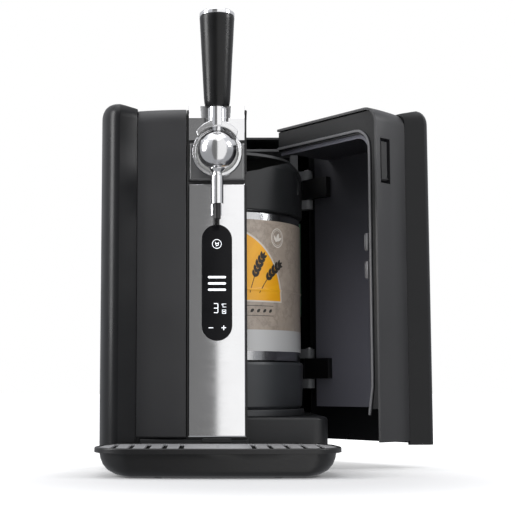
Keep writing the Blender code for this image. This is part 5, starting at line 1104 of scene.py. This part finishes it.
class DISPENSER_OT_stage(bpy.types.Operator):
    """White floor with a painted soft shadow, soft lights, reflection cards and the camera"""

    bl_idname = "dispenser.stage"
    bl_label = "Stage"

    def execute(self, context):
        view = context.scene.dispenser_view
        context.scene.view_settings.view_transform = "Standard"
        self.floor()
        self.sky(context.scene)
        self.cards()
        self.lights()
        camera = bpy.data.objects.new("camera", bpy.data.cameras.new("camera"))
        context.scene.collection.objects.link(camera)
        camera.location = view.place
        camera.rotation_euler = (math.pi / 2 + view.tilt, 0, 0)
        camera.data.sensor_width = 36
        camera.data.lens = view.lens
        camera.data.shift_x = view.shift
        camera.data.clip_start = 0.05
        context.scene.camera = camera
        return {"FINISHED"}

    @staticmethod
    def floor():
        bm = bmesh.new()
        bmesh.ops.create_grid(bm, x_segments=8, y_segments=8, size=12)
        mesh = bpy.data.meshes.new("floor")
        bm.to_mesh(mesh)
        bm.free()
        finish = Finish("floor_white_painted_shadow", specular_ior_level=0.0)
        finish.set("Base Color", (0.60, 0.60, 0.60))
        finish.set("Roughness", 0.9)
        # Painted shadow: the floor's glow fades to near dark round the machine's foot and whitens the
        # floor further out
        x = (finish.spot.part("X") - SHADOW_X) / SHADOW_WIDE
        y = (finish.spot.part("Y") - SHADOW_Y) / SHADOW_DEEP
        far = ((x * x + y * y) ** 0.5).ramp(0.4, 2.5)
        finish.set("Emission Color", far.blend((0.06, 0.06, 0.06, 1), (0.80, 0.80, 0.80, 1)))
        finish.set("Emission Strength", 1.0)
        mesh.materials.append(finish.material)
        floor = bpy.data.objects.new("floor", mesh)
        bpy.context.scene.collection.objects.link(floor)
        floor.visible_glossy = False
        floor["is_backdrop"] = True

    @staticmethod
    def sky(scene):
        """White for the camera; for light and reflections, brighter overhead than in front."""
        world = bpy.data.worlds.new("studio")
        world.use_nodes = True
        scene.world = world
        tree = world.node_tree
        tree.nodes.clear()
        direction = Wire(tree, tree.nodes.new("ShaderNodeTexCoord").outputs["Generated"])
        height = direction.part("Z").ramp(-0.2, 0.9)
        tone = height.blend((0.45, 0.46, 0.48, 1), (0.95, 0.96, 1.0, 1))
        soft = direction.node("ShaderNodeBackground", None, {"Color": tone, "Strength": 0.85})
        white = direction.node("ShaderNodeBackground", None, {"Color": (1, 1, 1, 1), "Strength": 1.0})
        seen = direction.node("ShaderNodeLightPath")
        mixed = direction.node("ShaderNodeMixShader", None, {0: seen, 1: soft, 2: white})
        out = tree.nodes.new("ShaderNodeOutputWorld")
        tree.links.new(mixed.socket, out.inputs["Surface"])

    @staticmethod
    def cards():
        """Cards that only reflections see: grey to the left of the lens, white to the right."""
        for name, centre, wide, tone in (
            ("card_left", (-0.8255, CARD_Y, 2.0), 1.6, 0.185),
            ("card_right", (1.9745, CARD_Y, 2.0), 4.0, 1.08),
        ):
            bm = bmesh.new()
            bmesh.ops.create_grid(bm, x_segments=1, y_segments=1, size=0.5)
            bmesh.ops.scale(bm, verts=bm.verts, vec=(wide, CARD_TALL, 1))
            stand = Matrix.Translation(centre) @ Matrix.Rotation(math.pi / 2, 4, "X")
            bmesh.ops.transform(bm, verts=bm.verts, matrix=stand)
            mesh = bpy.data.meshes.new(name)
            bm.to_mesh(mesh)
            bm.free()
            finish = Finish(name + "_tone", roughness=1.0)
            finish.set("Base Color", (0.0, 0.0, 0.0))
            finish.set("Emission Color", (tone, tone, tone))
            finish.set("Emission Strength", 1.0)
            mesh.materials.append(finish.material)
            card = bpy.data.objects.new(name, mesh)
            bpy.context.scene.collection.objects.link(card)
            card.visible_camera = False
            card.visible_diffuse = False
            card.visible_shadow = False
            card.visible_transmission = False
            card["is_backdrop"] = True

    @staticmethod
    def lights():
        """Soft boxes: above, left and right."""
        for name, place, target, size, power in (
            ("light_top", (-0.2, -0.3, 2.2), (0, 0, 0.2), (2.2, 2.2), 16.0),
            ("light_left", (-2.2, -0.5, 1.1), (0, 0, 0.25), (0.9, 1.8), 41.0),
            ("light_right", (1.5, -0.5, 1.1), (0.15, -0.1, 0.36), (0.5, 0.5), 9.0),
        ):
            lamp = bpy.data.lights.new(name, "AREA")
            lamp.shape = "RECTANGLE"
            lamp.size, lamp.size_y = size
            lamp.energy = power
            light = bpy.data.objects.new(name, lamp)
            bpy.context.scene.collection.objects.link(light)
            light.location = place
            aim = Vector(target) - Vector(place)
            light.rotation_euler = aim.to_track_quat("-Z", "Y").to_euler()


class DISPENSER_PT_panel(bpy.types.Panel):
    """Lists the steps and the colours and sizes that they use"""

    bl_label = "Keg dispenser"
    bl_space_type = "VIEW_3D"
    bl_region_type = "UI"
    bl_category = "Dispenser"

    def draw(self, context):
        for operator in STEPS:
            self.layout.operator(operator.bl_idname)
        groups = (
            context.scene.dispenser_paints,
            context.scene.dispenser_sizes,
            context.scene.dispenser_view,
        )
        for group in groups:
            for name in group.__annotations__:
                self.layout.prop(group, name)


STEPS = (
    DISPENSER_OT_stage,
    DISPENSER_OT_housing,
    DISPENSER_OT_column,
    DISPENSER_OT_tap,
    DISPENSER_OT_display,
    DISPENSER_OT_keg,
    DISPENSER_OT_door_inside,
    DISPENSER_OT_tray,
    DISPENSER_OT_inside,
)
GROUPS = (DispenserPaints, DispenserSizes, DispenserView)


def register():
    for kind in (*GROUPS, *STEPS, DISPENSER_PT_panel):
        bpy.utils.register_class(kind)
    bpy.types.Scene.dispenser_paints = PointerProperty(type=DispenserPaints)
    bpy.types.Scene.dispenser_sizes = PointerProperty(type=DispenserSizes)
    bpy.types.Scene.dispenser_view = PointerProperty(type=DispenserView)


def unregister():
    del bpy.types.Scene.dispenser_view
    del bpy.types.Scene.dispenser_sizes
    del bpy.types.Scene.dispenser_paints
    for kind in reversed((*GROUPS, *STEPS, DISPENSER_PT_panel)):
        bpy.utils.unregister_class(kind)


def main():
    register()
    bpy.ops.dispenser.stage()
    bpy.ops.dispenser.housing()
    bpy.ops.dispenser.column()
    bpy.ops.dispenser.tap()
    bpy.ops.dispenser.display()
    bpy.ops.dispenser.keg()
    bpy.ops.dispenser.door_inside()
    bpy.ops.dispenser.tray()
    bpy.ops.dispenser.inside()
    sizes = {"cad": cad_box, "visual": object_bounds()}
    plain = {name: [list(corner) for corner in box] for name, box in sizes.items()}


if __name__ == "__main__":
    main()
